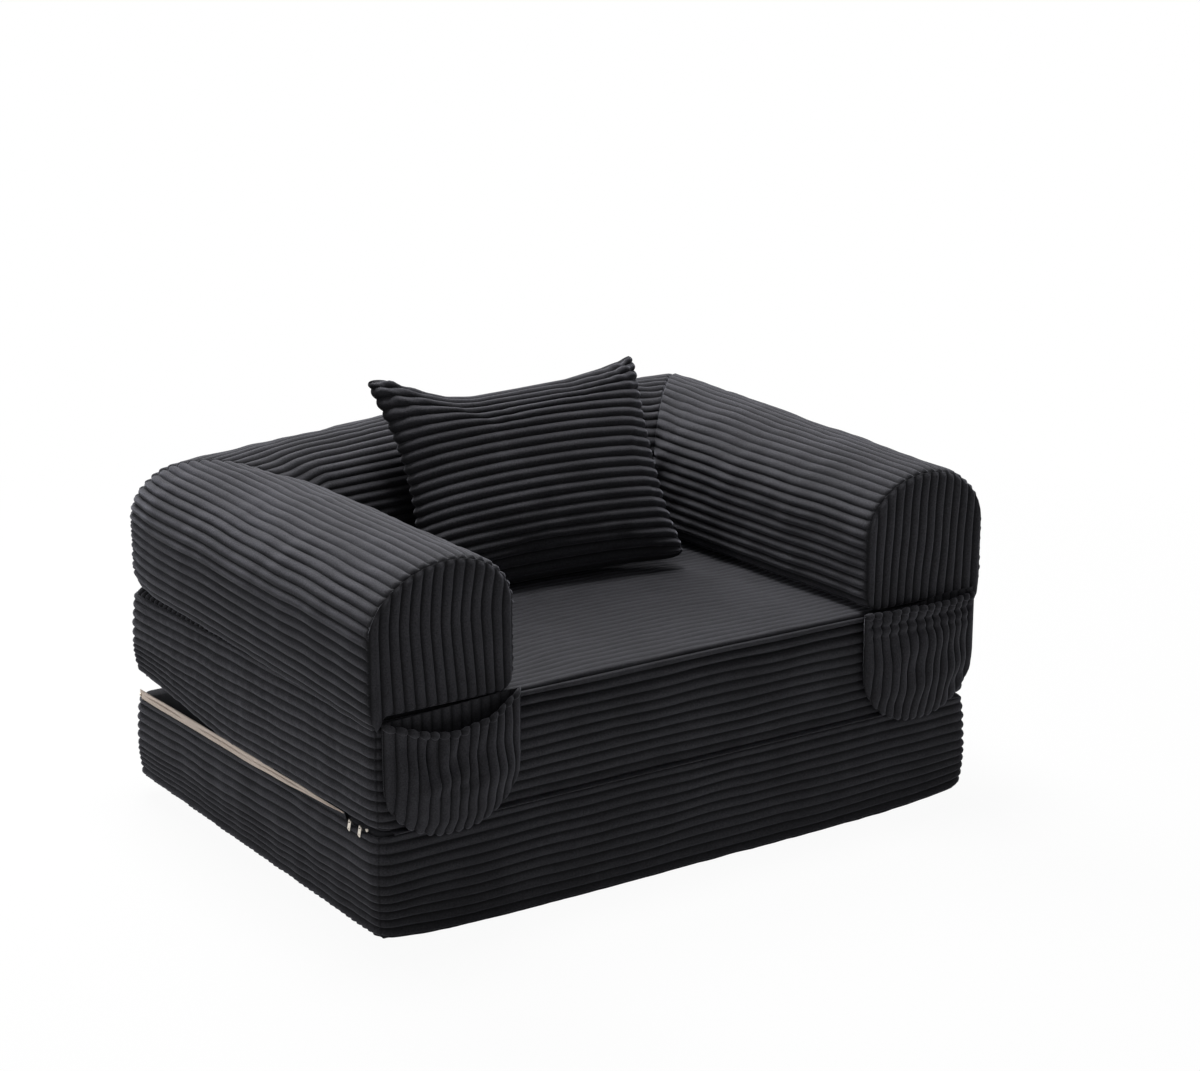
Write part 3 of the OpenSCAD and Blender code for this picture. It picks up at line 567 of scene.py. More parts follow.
def bolsterArm(side):
    left = side == "left"
    way = -1 if left else 1
    rows = ribRows(bolster["armRibs"], "fine")
    start, backY = bolster["front"] + bolster["endGap"], bolster["backY"]
    first, count = bolster["armRings"]
    ys = [start + y for y in bolster["endRows"]] + list(np.linspace(start + first, bolster["cornerRun"], count))
    stations = [(y, 0.0) for y in ys] + [(bolster["cornerRun"], turn) for turn in mitreTurns]
    slowSway, fastSway = bolster["sway"]
    rings, dips, mitre = [], [], []
    for y0, turn in stations:
        along = (mix(y0, backY, turn) - bolster["front"])/(backY - bolster["front"])
        fromEnd = y0 - start if turn == 0 else math.inf
        straight = 1 - soften(turn)
        draw = bolster["seamDraw"]*max(0, 1 - fromEnd/bolster["seamRun"])**2
        tall = mix(bolster["armHigh"], bolster["cornerHigh"][side], along) - draw
        slow = slowSway[0]*math.sin(y0/slowSway[1] + (2 if left else 0))
        sway = slow + fastSway[0]*math.sin(y0/fastSway[1])
        bend = rows + sway*np.sin(math.pi*rows)*soften(fromEnd/bolster["swayRun"])*straight
        across, up = bolsterRing(tall, bolster["droop"][side]*(1 - along), bolster["lean"][side]*straight,
                                 draw, bend, turn)
        rings.append(np.stack([way*(bolster["armX"] - across), mix(y0, backY - across, turn),
                               bolster["baseZ"] + up], axis=1))
        dips.append(soften(1 - (1 - turn)/bolster["mitreRun"]) if turn > 0
                    else max(0, 1 - fromEnd/bolster["endRound"])**2.5)
        mitre.append((turn, [-way, 0, 0], [0, -1, 0]))
    name = side.capitalize()
    sewn, normal = bolsterSweep("bolsterCover" + name, "bolster_cover_" + side, rings, rows,
                                bolster["armRibs"], bolster["seeds"][side], np.array(dips), mitre)
    forward = np.array([0, 1, 0])
    places = []
    for groove in range(0, len(rows), len(ribSteps["fine"])):  # one stitch over the seam in each groove
        spot, out = sewn[groove, 2], normal[groove, 2]
        if spot[2] > bolster["baseZ"] + bolster["stitchLow"]:
            across = np.cross(out, forward)
            places.append((spot + out*bolster["stitchOut"] + forward, forward, across/np.linalg.norm(across)))
    sewStitches("endStitches" + name, "bolster", places, bolster["stitch"])


def bolsterBack():
    rows = ribRows(bolster["backRibs"], "fine")
    armX, cornerX = bolster["armX"], bolster["cornerX"]
    stations = [(-cornerX, turn) for turn in mitreTurns[::-1]]
    stations += [(x, 0.0) for x in np.linspace(-cornerX, cornerX, bolster["backRings"])]
    stations += [(cornerX, turn) for turn in mitreTurns]
    rings, dips, mitre = [], [], []
    for x0, turn in stations:
        side = math.copysign(1, x0)
        x = mix(x0, side*armX, turn)
        corner = bolster["cornerHigh"]["left" if x < 0 else "right"]
        tall = mix(bolster["backHigh"], corner, (abs(x)/armX)**1.5)
        across, up = bolsterRing(tall, bolster["backDroop"]*(1 - soften(turn)), 0, 0, rows, turn)
        rings.append(np.stack([mix(x0, side*(armX - across), turn), bolster["backY"] - across,
                               bolster["baseZ"] + up], axis=1))
        dips.append(soften(1 - (1 - turn)/bolster["mitreRun"]) if turn > 0 else 0)
        mitre.append((turn, [0, -1, 0], [-side, 0, 0]))
    bolsterSweep("bolsterCoverBack", "bolster_cover_back", rings, rows, bolster["backRibs"],
                 bolster["seeds"]["back"], np.array(dips), mitre)


bolsterArm("left")
bolsterArm("right")
bolsterBack()


endPanel = {
    "ribs": 14, "rows": 56, "ribDepth": 5, "thick": 2, "bulge": 2, "seamEase": (2.5, 7), "inset": 4,
    "slant": 16, "rimColumns": [0.0012, 0.004, 0.996, 0.9988], "rimRows": [0, 1.5, 3.5, 6], "rimRound": 5,
    "hollow": (0.6, 0.8, 120, 61), "hollowRun": 20, "sway": (0.7, 130, 67), "swayRun": 40,
    "apart": {"left": 900.0, "right": 300.0},
}


def makeEndPanel(side):
    within = bolster["seamDraw"] + endPanel["inset"]
    half, high = bolster["half"] - within, bolster["armHigh"] - within
    waist = bolster["waist"]
    columns = np.unique(np.concatenate([ribRows(endPanel["ribs"], "fine"), endPanel["rimColumns"]]))
    rows = evenRows(high, high/endPanel["rows"], endPanel["rimRows"])

    def place(s, t, i, j):
        u = half*(2*s - 1) - endPanel["slant"]*(t - 0.5)*(1 - (2*s - 1)**2)
        share = np.clip(np.abs(u)/half, 0, 1)
        sine = np.sqrt(np.maximum(0, 1 - share**(2/bolster["square"])))
        low = lowEdge(u/half, sine, bolster["droop"][side])
        top = waist + (high - waist)*np.sqrt(np.maximum(0, 1 - share**2))
        z = mix(low, top, t)
        upper = ramp((z - waist)/(high - waist))
        reach = half*np.sqrt(np.maximum(0, 1 - upper**2))
        inset = np.minimum(np.minimum(top - z, z - low), np.maximum(0, reach - np.abs(u)))
        crown = ridge(s*endPanel["ribs"])
        swell = 1 - np.exp(-inset/mix(endPanel["seamEase"][1], endPanel["seamEase"][0], crown))
        crown = crown*(1 - ramp(1 - inset/endPanel["rimRound"])**2.5)
        flat = np.stack([u, z, np.full(len(u), endPanel["apart"][side])], axis=1)
        hollow, height, *wave = endPanel["hollow"]
        depth = (hollow + height*drift(flat, *wave))*soften(inset/endPanel["hollowRun"])
        depth = depth + endPanel["ribDepth"]*(1 - crown) - bolster["endGap"] - endPanel["bulge"]
        y = bolster["front"] + bolster["endGap"] + depth*swell
        height, *wave = endPanel["sway"]
        u = u + bolster["lean"][side]*upper**1.5
        u = u + height*drift(flat, *wave)*soften(inset/endPanel["swayRun"])
        x = (bolster["armX"] - u)*(-1 if side == "left" else 1)
        return np.stack([x, y, bolster["baseZ"] + z], axis=1), crown

    piece = sewOne("endPanel" + side.capitalize(), columns, rows, place, "bolster", corduroy,
                   "bolster_end_panel_" + side, weld=0.01)
    thicken(piece, endPanel["thick"], -1)


makeEndPanel("left")
makeEndPanel("right")
print("end panels sewn")


pocket = {
    "width": 218, "height": 182, "x": 415, "top": 336.4, "backY": -372.0, "pouchY": -374.3, "gap": 0.2,
    "roundEnd": 80, "ribs": 14, "rows": 60, "ribDepth": 5, "backRib": 1.7, "sewnIn": 9, "fold": 3, "folds": 4,
    "thick": 1.6, "mouthSwell": 0.75, "hemRows": 13, "hemHigh": 10, "hemThick": 3.6, "hemDown": 2.5,
    "hemBack": 1.4, "hemKnob": (0.6, 0.65), "hemWave": (1.2, 60, 89), "wave": (2.2, 80), "sway": (2.2, 110),
    "scallop": 4.5, "scallopRun": 0.1, "dentZ": 260, "rims": {"dent": 20, "wave": 25, "sway": 30},
    "left": {
        "belly": 26, "sag": 30, "tilt": (-10, 1), "seeds": (71, 79), "creases": [],
        "dents": [(-46, 10, 17, 26, -8, -0.3), (-24, 14, 12, 24, 5, 0.5), (-4, 2, 15, 22, -7, 0.6),
                  (22, 24, 14, 26, 5, 0.3), (38, 6, 13, 30, -5, 0.2), (-30, -26, 26, 10, 4, 0.4),
                  (10, -34, 34, 9, -4, 0.3)],
    },
    "right": {
        "belly": 20, "sag": 0, "tilt": (-4, -3.5), "seeds": (73, 83), "dents": [],
        "creases": [(5, 312, 4.5, 15), (3, 296, 5, 25)],
    },
}
pocketEnd = math.radians(pocket["roundEnd"])


def makePocket(side):
    left = side == "left"
    look = pocket[side]
    name, body = side.capitalize(), "pocket_" + side
    centre = pocket["x"]*(-1 if left else 1)
    waveSeed, swaySeed = look["seeds"]
    wave, waveLong = pocket["wave"]
    sway, swayLong = pocket["sway"]

    def deepest(u):  # how far down the pocket reaches at u
        angle = np.arccos(np.clip(np.abs(u), math.cos(pocketEnd), 1))
        return 0.5 + 0.5*np.sin(angle)/math.sin(pocketEnd)

    def downAt(u, v):  # the mouth follows the arm's lower edge, and the foot hangs level
        outer, inner = look["tilt"]
        tilt = mix(outer, inner, (u if left else -u)*0.5 + 0.5)
        return pocket["top"] + tilt*(1 - v) - v*pocket["height"]

    def pouchAt(u, v):
        sine = np.clip((v - 0.5)*2*math.sin(pocketEnd), 0, 1)
        un = np.clip(u/np.where(v <= 0.5, 1, np.sqrt(1 - sine**2)), -1, 1)
        low = np.where(v < 0.5, mix(pocket["mouthSwell"], 1, 2*v), np.cos(math.pi*(v - 0.5)))
        swell = np.maximum(0, (1 - np.abs(un)**2.5)*low)
        fold = pocket["fold"]*(1 - v)*(1 - un*un)*(np.cos(math.pi*pocket["folds"]*un) - 1)/2
        y = pocket["pouchY"] - look["belly"]*swell - fold
        return centre + u*pocket["width"]/2, y, downAt(u, v) - look["sag"]*(1 - v)*(1 - un*un)

    def backing(s, t, i, j):
        u = 2*s - 1
        v = t*deepest(u)
        toRim = np.minimum(deepest(u) - v, 1)*pocket["height"]
        crown = ridge(s*pocket["ribs"])*soften(toRim/6)
        z = downAt(u, v)
        if not left:  # sewn in behind the arm's lower edge
            z = z + pocket["sewnIn"]*np.clip(1 - 8*v, 0, 1)*soften((u + 0.2)/0.8)
        x, y = centre + u*pocket["width"]/2, pocket["backY"] - pocket["backRib"]*crown
        return np.stack([x, y, z], axis=1), crown

    def pouch(s, t, i, j):
        u = 2*s - 1
        v = t*deepest(u)
        x, y, z = pouchAt(u, v)
        flat = np.stack([x, z, np.zeros(len(u))], axis=1)
        toRim = np.minimum((deepest(u) - v)*pocket["height"], (1 - np.abs(u))*pocket["width"]/2)
        crown = ridge(s*pocket["ribs"])*soften((toRim + 4)/9)
        buckle = np.zeros(len(u))
        for du, dz, wide, high, deep, lean in look["dents"]:
            across, up = x - centre - du, z - pocket["dentZ"] - dz
            up = up - lean*across
            buckle += deep*np.exp(-(across/wide)**2 - (up/high)**2)
        buckle *= soften(toRim/pocket["rims"]["dent"])
        for deep, level, high, run in look["creases"]:
            buckle -= deep*np.exp(-((z - level)/high)**2)*soften(toRim/run)
        y = y - pocket["ribDepth"]*(crown - 0.5)*soften((toRim + 1)/6) - buckle
        y = y - wave*drift(flat, waveLong, waveSeed)*soften(toRim/pocket["rims"]["wave"])
        y = np.minimum(y, pocket["pouchY"] - pocket["gap"])
        x = x + sway*drift(flat, swayLong, swaySeed)*soften(toRim/pocket["rims"]["sway"])
        run = pocket["scallopRun"]
        scallop = pocket["scallop"]*ridge(s*pocket["ribs"])*soften((t - 1 + run)/run)
        return np.stack([x, y, z - scallop], axis=1), crown

    def hem(s, t, i, j):
        u = 2*s - 1
        x, y, z = pouchAt(u, np.zeros(len(u)))
        crown = ridge(s*pocket["ribs"])
        turn = 2*math.pi*t
        knob = pocket["hemKnob"][0] + pocket["hemKnob"][1]*crown
        flat = np.stack([x, z, np.full(len(u), 7.0)], axis=1)
        y = y - pocket["ribDepth"]*(crown - 0.5)*0.5 - pocket["hemBack"]
        y = y + pocket["hemThick"]*knob*np.cos(turn)
        y = np.minimum(y, pocket["pouchY"] - pocket["gap"])
        height, *hemWave = pocket["hemWave"]
        z = z - pocket["hemDown"] + pocket["hemHigh"]/2*knob*np.sin(turn) + height*drift(flat, *hemWave)
        x = x + sway*drift(flat, swayLong, swaySeed)*soften((1 - np.abs(u))*4)
        # painted shade: the roll is darker on its front and back than on its top and bottom
        return np.stack([x, y, z], axis=1), crown*(0.7 + 0.3*np.abs(np.sin(turn)))

    columns = ribRows(pocket["ribs"], "fine")
    rows = np.linspace(0, 1, pocket["rows"] + 1)
    parts = {"Backing": ("backing", rows, backing), "Pouch": ("pouch", rows, pouch),
             "Hem": ("binding", np.linspace(0, 1, pocket["hemRows"]), hem)}
    back, front, band = [
        sewOne("pocket" + kind + name, columns, spaced, place, body, corduroy, f"pocket_{node}_{side}",
               weld=0.01)
        for kind, (node, spaced, place) in parts.items()]
    thicken(front, pocket["thick"])


makePocket("left")
makePocket("right")
print("pockets sewn")


pillow = {
    "width": 460, "height": 347, "thick": 140, "sideDraw": (30, 12), "topDraw": 39, "lowDraw": 4, "arch": 5,
    "topShape": ([-1, -0.86, -0.72, -0.51, -0.33, 0, 0.41, 0.71, 0.88, 1],
                 [0, 0.12, 0.4, 0.84, 0.98, 0.93, 0.8, 0.55, 0.3, 0]),
    "cornerRound": 9, "ears": [(-1, 1, -9, 13), (1, -1, 9, -3)], "earReach": 0.3, "domePower": 0.45,
    "lean": 26, "turn": -8, "tip": 2, "place": (12, 87.3, 498.5), "cells": (46, 34), "bunch": 0.35,
    "frames": 18, "mostMove": 12, "give": 0.4, "ribs": 21, "ribDepth": 5.6, "pitch": 6,
    "rimRows": [0, 1.5, 3.5, 6], "scallop": (6, 7), "cornerFolds": (4, 5.5, 55),
    "seatShare": 0.9, "seatGap": 1, "creases": [(0.9, 200, 91), (0.6, 70, 93)],
    "cloth": {
        "quality": 6, "mass": 0.25, "tension_stiffness": 18, "compression_stiffness": 18,
        "shear_stiffness": 6, "bending_stiffness": 0.4, "use_pressure": True, "uniform_pressure_force": 4.5,
    },
}
pillowTurn = (Matrix.Translation(Vector(pillow["place"])*mm)
              @ Matrix.Rotation(math.radians(pillow["turn"]), 4, "Z")
              @ Matrix.Rotation(math.radians(-pillow["lean"]), 4, "X")
              @ Matrix.Rotation(math.radians(-pillow["tip"]), 4, "Y"))


def pillowPoint(u, v, side):
    dome = np.maximum(0, (1 - u*u)*(1 - v*v))**pillow["domePower"]
    corner = pillow["cornerRound"]*np.abs(u*v)**10
    draw = np.where(u < 0, *pillow["sideDraw"])
    x = u*(pillow["width"]/2 - draw*(1 - v*v) - corner)
    topDip = pillow["topDraw"]*v**3*np.interp(u, *pillow["topShape"])
    dip = np.where(v > 0, topDip, pillow["lowDraw"]*v*(1 - u*u))
    z = v*(pillow["height"]/2 - corner) - dip + pillow["arch"]*(1 - u*u)*(1 - v*v)
    for cornerU, cornerV, outX, outZ in pillow["ears"]:  # corners that stand out further
        near = np.exp(-((u - cornerU)**2 + (v - cornerV)**2)/pillow["earReach"]**2)
        x, z = x + outX*near, z + outZ*near
    return np.stack([x, side*pillow["thick"]/2*dome, z], axis=-1)


def cubicAlong(values, count, axis, spots):  # smooth values between grid points
    values = np.moveaxis(values, axis, 0)
    at = np.clip(spots, 0, 1)*count
    k = np.clip(np.floor(at).astype(int), 0, count - 1)
    f = (at - k).reshape(-1, *[1]*(values.ndim - 1))
    p = [values[np.clip(k + d, 0, count)] for d in (-1, 0, 1, 2)]
    out = 0.5*(2*p[1] + (p[2] - p[0])*f + (2*p[0] - 5*p[1] + 4*p[2] - p[3])*f**2
               + (3*p[1] - p[0] - 3*p[2] + p[3])*f**3)
    return np.moveaxis(out, 0, axis)


def blowUp(sides):  # the cover's two sides after a short simulation under pressure
    nu, nv = pillow["cells"]
    bm = bmesh.new()
    for grid in sides:
        made = bmesh.ops.create_grid(bm, x_segments=nu, y_segments=nv, size=0.5)["verts"]
        for vert, i, j in zip(made, *gridSpots(made, nu, nv)):
            vert.co = grid[j, i]
    bmesh.ops.remove_doubles(bm, verts=bm.verts, dist=0.01*mm)
    bmesh.ops.recalc_face_normals(bm, faces=bm.faces)
    mesh = bpy.data.meshes.new("pillowTrial")
    bm.to_mesh(mesh)
    bm.free()
    trial = link(bpy.data.objects.new("pillowTrial", mesh))
    cloth = trial.modifiers.new("blow", "CLOTH")
    for key, value in pillow["cloth"].items():
        setattr(cloth.settings, key, value)
    cloth.settings.effector_weights.gravity = 0
    cloth.point_cache.frame_start = 1
    cloth.point_cache.frame_end = pillow["frames"]
    scene = bpy.context.scene
    for number in range(1, pillow["frames"] + 1):
        scene.frame_set(number)
    done = trial.evaluated_get(bpy.context.evaluated_depsgraph_get()).to_mesh()
    count = len(mesh.vertices)
    before, after = np.empty(count*3), np.empty(count*3)
    mesh.vertices.foreach_get("co", before)
    done.vertices.foreach_get("co", after)
    before, after = before.reshape(-1, 3), after.reshape(-1, 3)
    move = after - before
    size = np.linalg.norm(move, axis=1, keepdims=True)
    move *= np.minimum(1, pillow["mostMove"]*mm/np.maximum(size, 1e-9))
    after = before + move*pillow["give"]
    tree = KDTree(count)
    for index, spot in enumerate(before):
        tree.insert(spot, index)
    tree.balance()
    scene.frame_set(1)
    bpy.data.objects.remove(trial, do_unlink=True)
    bpy.data.meshes.remove(mesh)
    print("pillow blown up, largest move", round(float(size.max())/mm, 1), "mm")
    return [np.array([[after[tree.find(spot)[1]] for spot in row] for row in grid]) for grid in sides]


def bunched(count):  # grid lines from -1 to 1, closer together towards the rim
    even = np.linspace(-1, 1, count + 1)
    return np.sin(math.pi/2*even)*pillow["bunch"] + even*(1 - pillow["bunch"])


def makePillow():
    nu, nv = pillow["cells"]
    wide, high = pillow["width"], pillow["height"]
    u, v = bunched(nu), bunched(nv)
    sides = [pillowPoint(*np.meshgrid(u, v), side)*mm for side in (-1, 1)]
    sides = blowUp(sides)
    rows = ribRows(pillow["ribs"], "fine")
    columns = evenRows(wide, pillow["pitch"], pillow["rimRows"])
    spotU = np.interp(columns*2 - 1, u, np.linspace(0, 1, nu + 1))
    spotV = np.interp(rows*2 - 1, v, np.linspace(0, 1, nv + 1))
    s, t = np.meshgrid(columns, rows)
    toSide, toTop = np.minimum(s, 1 - s)*wide, np.minimum(t, 1 - t)*high
    rim = np.minimum(toSide, toTop)
    crown = ridge(t*pillow["ribs"])*soften((rim + 1)/9)
    foldDeep, foldLong, foldReach = pillow["cornerFolds"]
    folds = sum(np.exp(-(np.hypot(share*wide, (1 - t)*high)/foldReach)**2) for share in (1 - s, s))
    folds = foldDeep*folds*np.sin((s*wide + t*high)/foldLong)*soften(rim/10)
    out, reach = pillow["scallop"]
    scallop = ridge(t*pillow["ribs"])*out*np.exp(-(toSide/reach)**2)*np.sin(math.pi*t)**0.3*np.sign(s - 0.5)
    cloth = newCloth("pillowCover")
    for side, coarse in zip((-1, 1), sides):
        grid = cubicAlong(cubicAlong(coarse, nv, 0, spotV), nu, 1, spotU)/mm
        normal = gridNormals(grid)
        normal *= np.sign((normal[:, :, 1]*side).mean())
        flat = grid.reshape(-1, 3)
        crease = sum(height*drift(flat, *wave) for height, *wave in pillow["creases"]).reshape(s.shape)
        depth = pillow["ribDepth"]*(1 - crown) + crease*soften(rim/30) + folds
        grid = grid - normal*(depth*soften(rim/5))[:, :, None]
        grid[:, :, 0] += scallop
        turned = grid*mm @ np.array(pillowTurn.to_3x3()).T + np.array(pillowTurn.translation)
        turned /= mm
        onSeat = blockCrown(turned[:, :, 0], turned[:, :, 1])*pillow["seatShare"] + pillow["seatGap"]
        turned[:, :, 2] = np.maximum(turned[:, :, 2], block["seatZ"] + block["height"] + onSeat)

        def place(s0, t0, i, j):
            return turned[j, i], crown[j, i]

        sewPatch(cloth, columns, rows, place)
    piece = finishCloth(cloth, "pillow", corduroy, "pillow_cover")
    print("pillow sewn:", len(piece.data.polygons), "faces")


makePillow()


zipper = {
    "start": (-527.941, -339.677, 167.85), "length": 702, "lean": 9, "slope": 0.15, "low": 8.5, "high": -8.3,
    "frontEnd": 74, "frontLow": -2.5, "frontHigh": -4.6, "lowRun": 260, "highRun": 300,
    "tapeThick": 1.1, "tapeOver": 6, "tapeOut": (0.4, 0.9), "tapeBulge": (0.7, 160, 201),
    "tapeSway": (0.5, 120, 203), "facingOver": 8, "facingEnd": 400, "facingIn": 0.8, "facingLow": 10,
    "facingOut": (-0.7, -2), "facingPaintedShade": 0.3, "toothPitch": 1.75, "toothLong": 3.4, "toothUp": 0.9,
    "toothEnd": 4, "tooth": (0.9, 0.62, 1.5), "sliders": {"front": 14, "rear": 42},
}
slider = {
    "half": [(-5.5, -1.6), (-4.4, -3.2), (-1.5, -3.7), (2.5, -3.6), (4.6, -2.6), (5.5, -1.2)],
    "up": 1.45, "plateUp": 2.4, "plateThick": 1, "flange": (-4.2, 3.6, 2.6, 3.5), "flangeTall": 2.5,
    "bridgeWire": 0.75, "bridgeX": -2.2, "bridgeUp": (3.3, 3.4),
}
pull = {
    "rows": [-3, -2.2, -0.6, 0.9, 3, 6, 9, 11, 12.6, 13.7, 14.8, 15.8, 16.5, 17],
    "columns": [-1, -0.62, -0.3, 0, 0.3, 0.62, 1], "narrow": {0: 0.8, 1: 0.94, 12: 0.86, 13: 0.55},
    "openings": [(-0.6, 0.9), (12.6, 14.8)], "wide": 6.4, "thick": 1.2, "up": 5.1, "angle": 28, "cut": 0.16,
    "round": 0.3,
}
slope, lean = math.radians(zipper["slope"]), math.radians(zipper["lean"])
zipAlong = np.array([0, math.cos(slope), -math.sin(slope)])
zipDown = np.array([math.sin(lean), 0, -math.cos(lean)])
zipOut = np.cross(zipAlong, zipDown)
zipOut *= -np.sign(zipOut[0])


def zipAt(along, down, out):
    ways = zip((along, down, out), (zipAlong, zipDown, zipOut))
    return np.array(zipper["start"]) + sum(np.multiply.outer(amount, way) for amount, way in ways)


def tapeEdges(along):  # the tape narrows to the front, where the covers close over it
    fromFront = along - zipper["frontEnd"]
    low = mix(zipper["frontLow"], zipper["low"], ramp(fromFront/zipper["lowRun"])**0.75)
    return low, mix(zipper["frontHigh"], zipper["high"], ramp(fromFront/zipper["highRun"])**0.8)


def tapePoint(s, t, i, j):
    along = mix(zipper["frontEnd"] - zipper["tapeOver"], zipper["length"], s)
    low, high = tapeEdges(along)
    flat = np.stack([along, t*20, np.zeros(len(t))], axis=1)
    base, rim = zipper["tapeOut"]
    (bulge, *bulgeWave), (sway, *swayWave) = zipper["tapeBulge"], zipper["tapeSway"]
    out = base + bulge*drift(flat, *bulgeWave)*np.sin(math.pi*ramp(1 - t))**0.5 + rim*ramp(0.3 - t)
    return zipAt(along, mix(high, low, t) + sway*drift(flat, *swayWave), out), np.ones(len(s))


def facingPoint(s, t, i, j):  # the cover's turned-in edge, under the narrow end of the tape; its low rib value paints it dark, as painted shade in the gap between the blocks
    along = mix(zipper["frontEnd"] - zipper["facingOver"], zipper["facingEnd"], s)
    down = mix(tapeEdges(along)[0] - zipper["facingIn"], zipper["facingLow"], t)
    return zipAt(along, down, mix(*zipper["facingOut"], soften(t))), np.full(len(s), zipper["facingPaintedShade"])


def makeZip():
    tape = sewOne("zipTape", np.linspace(0, 1, 161), np.linspace(0, 1, 7), tapePoint, "base", zipCloth,
                  "base_zip_tape", "zip_tape")
    thicken(tape, zipper["tapeThick"])
    facing = sewOne("zipFacing", np.linspace(0, 1, 81), np.linspace(0, 1, 5), facingPoint, "base", corduroy)
    bm = bmesh.new()
    pitch, end, (long, wide, tall) = zipper["toothPitch"], zipper["toothEnd"], zipper["tooth"]
    for along in np.arange(zipper["frontEnd"] + end, zipper["length"] - end, pitch):
        low, high = tapeEdges(along)
        reach = min(zipper["toothLong"], (low - high)*0.5)
        for row, way in enumerate((-1, 1)):  # two rows of teeth, side by side
            spot = zipAt(along + row*pitch/2, mix(low, high, 0.5) + way*reach/5, zipper["toothUp"])
            addBlob(bm, spot, [zipAlong, zipDown, zipOut], (long, reach*wide, tall))
    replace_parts(makePiece(bm, "zipTeeth", "base", zipCloth), "base_zip_coil")


def edgesOf(verts):  # each edge once, in a fixed order
    return list(dict.fromkeys(edge for vert in verts for edge in vert.link_edges))


def plate(bm, outline, thick, up):  # a flat shape with rounded edges
    made = [bm.verts.new((x, y, up)) for x, y in outline]
    grown = bmesh.ops.extrude_face_region(bm, geom=[bm.faces.new(made)])["geom"]
    top = [g for g in grown if isinstance(g, bmesh.types.BMVert)]
    bmesh.ops.translate(bm, verts=top, vec=(0, 0, thick))
    rim = [e for e in edgesOf(made + top) if abs((e.verts[0].co - e.verts[1].co).z) < 1e-6]
    bmesh.ops.bevel(bm, geom=rim, offset=thick*0.25, offset_type="OFFSET", segments=2, profile=0.5,
                    affect="EDGES", material=-1)


def finishMetal(bm, along, kind, end, material):  # from the slider's own frame into the zip's
    for vert in bm.verts:
        vert.co = Vector(zipAt(along + vert.co.x, vert.co.y, vert.co.z)*mm)
    name = "zip" + kind.capitalize() + end.capitalize()
    piece = makePiece(bm, name, f"{kind}_{end}", material, smooth=False)
    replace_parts(piece, f"zip_{kind}_{end}")
    return piece


def makeSlider(end, along):
    bm = bmesh.new()
    up = slider["up"]
    outline = slider["half"] + [(x, -y) for x, y in slider["half"][::-1]]
    plate(bm, outline, slider["plateThick"], up + slider["plateUp"])
    back, front, near, far = slider["flange"]
    for side in (-1, 1):  # the flanges that hold the teeth
        flange = [(back, side*near), (front, side*near), (front, side*far), (back, side*far)]
        plate(bm, flange[::side], slider["flangeTall"], up)
    bridge = bmesh.ops.create_circle(bm, segments=10, radius=slider["bridgeWire"])["verts"]
    centre, foot = slider["bridgeUp"]
    bmesh.ops.rotate(bm, verts=bridge, matrix=Matrix.Rotation(math.pi/2, 3, "X"))
    bmesh.ops.translate(bm, verts=bridge, vec=(slider["bridgeX"], 0, up + foot))
    bmesh.ops.spin(bm, geom=bridge + edgesOf(bridge), cent=(0, 0, up + centre), axis=(0, 1, 0),
                   angle=math.pi, steps=10)
    finishMetal(bm, along, "slider", end, sliderMetal)


def makePull(end, along):  # a stamped tab with a slot over the bridge and a hole at its lower end
    bm = bmesh.new()
    nc, nr = len(pull["columns"]) - 1, len(pull["rows"]) - 1
    made = bmesh.ops.create_grid(bm, x_segments=nc, y_segments=nr, size=0.5)["verts"]
    for vert, i, j in zip(made, *gridSpots(made, nc, nr)):
        x = pull["columns"][i]*pull["wide"]/2*pull["narrow"].get(j, 1)
        vert.co = Vector((x, pull["rows"][j], 0))
    middles = {face: face.calc_center_median() for face in bm.faces}
    openings = [face for low, high in pull["openings"] for face, at in middles.items()
                if abs(at.x) < pull["wide"]*pull["cut"] and low < at.y < high]
    bmesh.ops.delete(bm, geom=openings, context="FACES")
    bmesh.ops.solidify(bm, geom=bm.faces[:], thickness=pull["thick"])
    bmesh.ops.translate(bm, verts=bm.verts, vec=(0, 0, pull["up"] - min(v.co.z for v in bm.verts)))
    bmesh.ops.rotate(bm, verts=bm.verts, cent=(0, 0, 0),
                     matrix=Matrix.Rotation(math.radians(-pull["angle"]), 3, "Z"))
    roundEdge = finishMetal(bm, along, "pull", end, zipMetal).modifiers.new("roundEdges", "BEVEL")
    roundEdge.width = pull["round"]*mm
    roundEdge.segments = 2


makeZip()
for zipEnd, zipPlace in zipper["sliders"].items():
    makeSlider(zipEnd, zipPlace)
    makePull(zipEnd, zipPlace)
print("zip sewn in")


flatPieces = {
    "grip": {"pitch": 42, "grain": (9, 9, 1.6), "material": lining, "slot": "lining"},
    "tape": {"pitch": 6.5, "grain": (2.6, 1.1, 1.1), "material": hookCloth, "slot": "hook_tape"},
    "cell": 12, "thick": 0.6, "wave": (0.15, 60, 301), "grainUp": 0.4,
    "pieces": [
        ("seatGripPanel", "seat_grip_panel", "seat", "seat_cover", "grip", -1),
        ("baseGripPanel", "base_grip_panel", "base", "base_cover", "grip", 1),
        ("seatLoopTapes", "seat_loop_tapes", "seat", "seat_cover", "tape", 1),
        ("bolsterHookTapes", "bolster_hook_tapes", "bolster", "bolster_cover_back", "tape", -1),
    ],
}


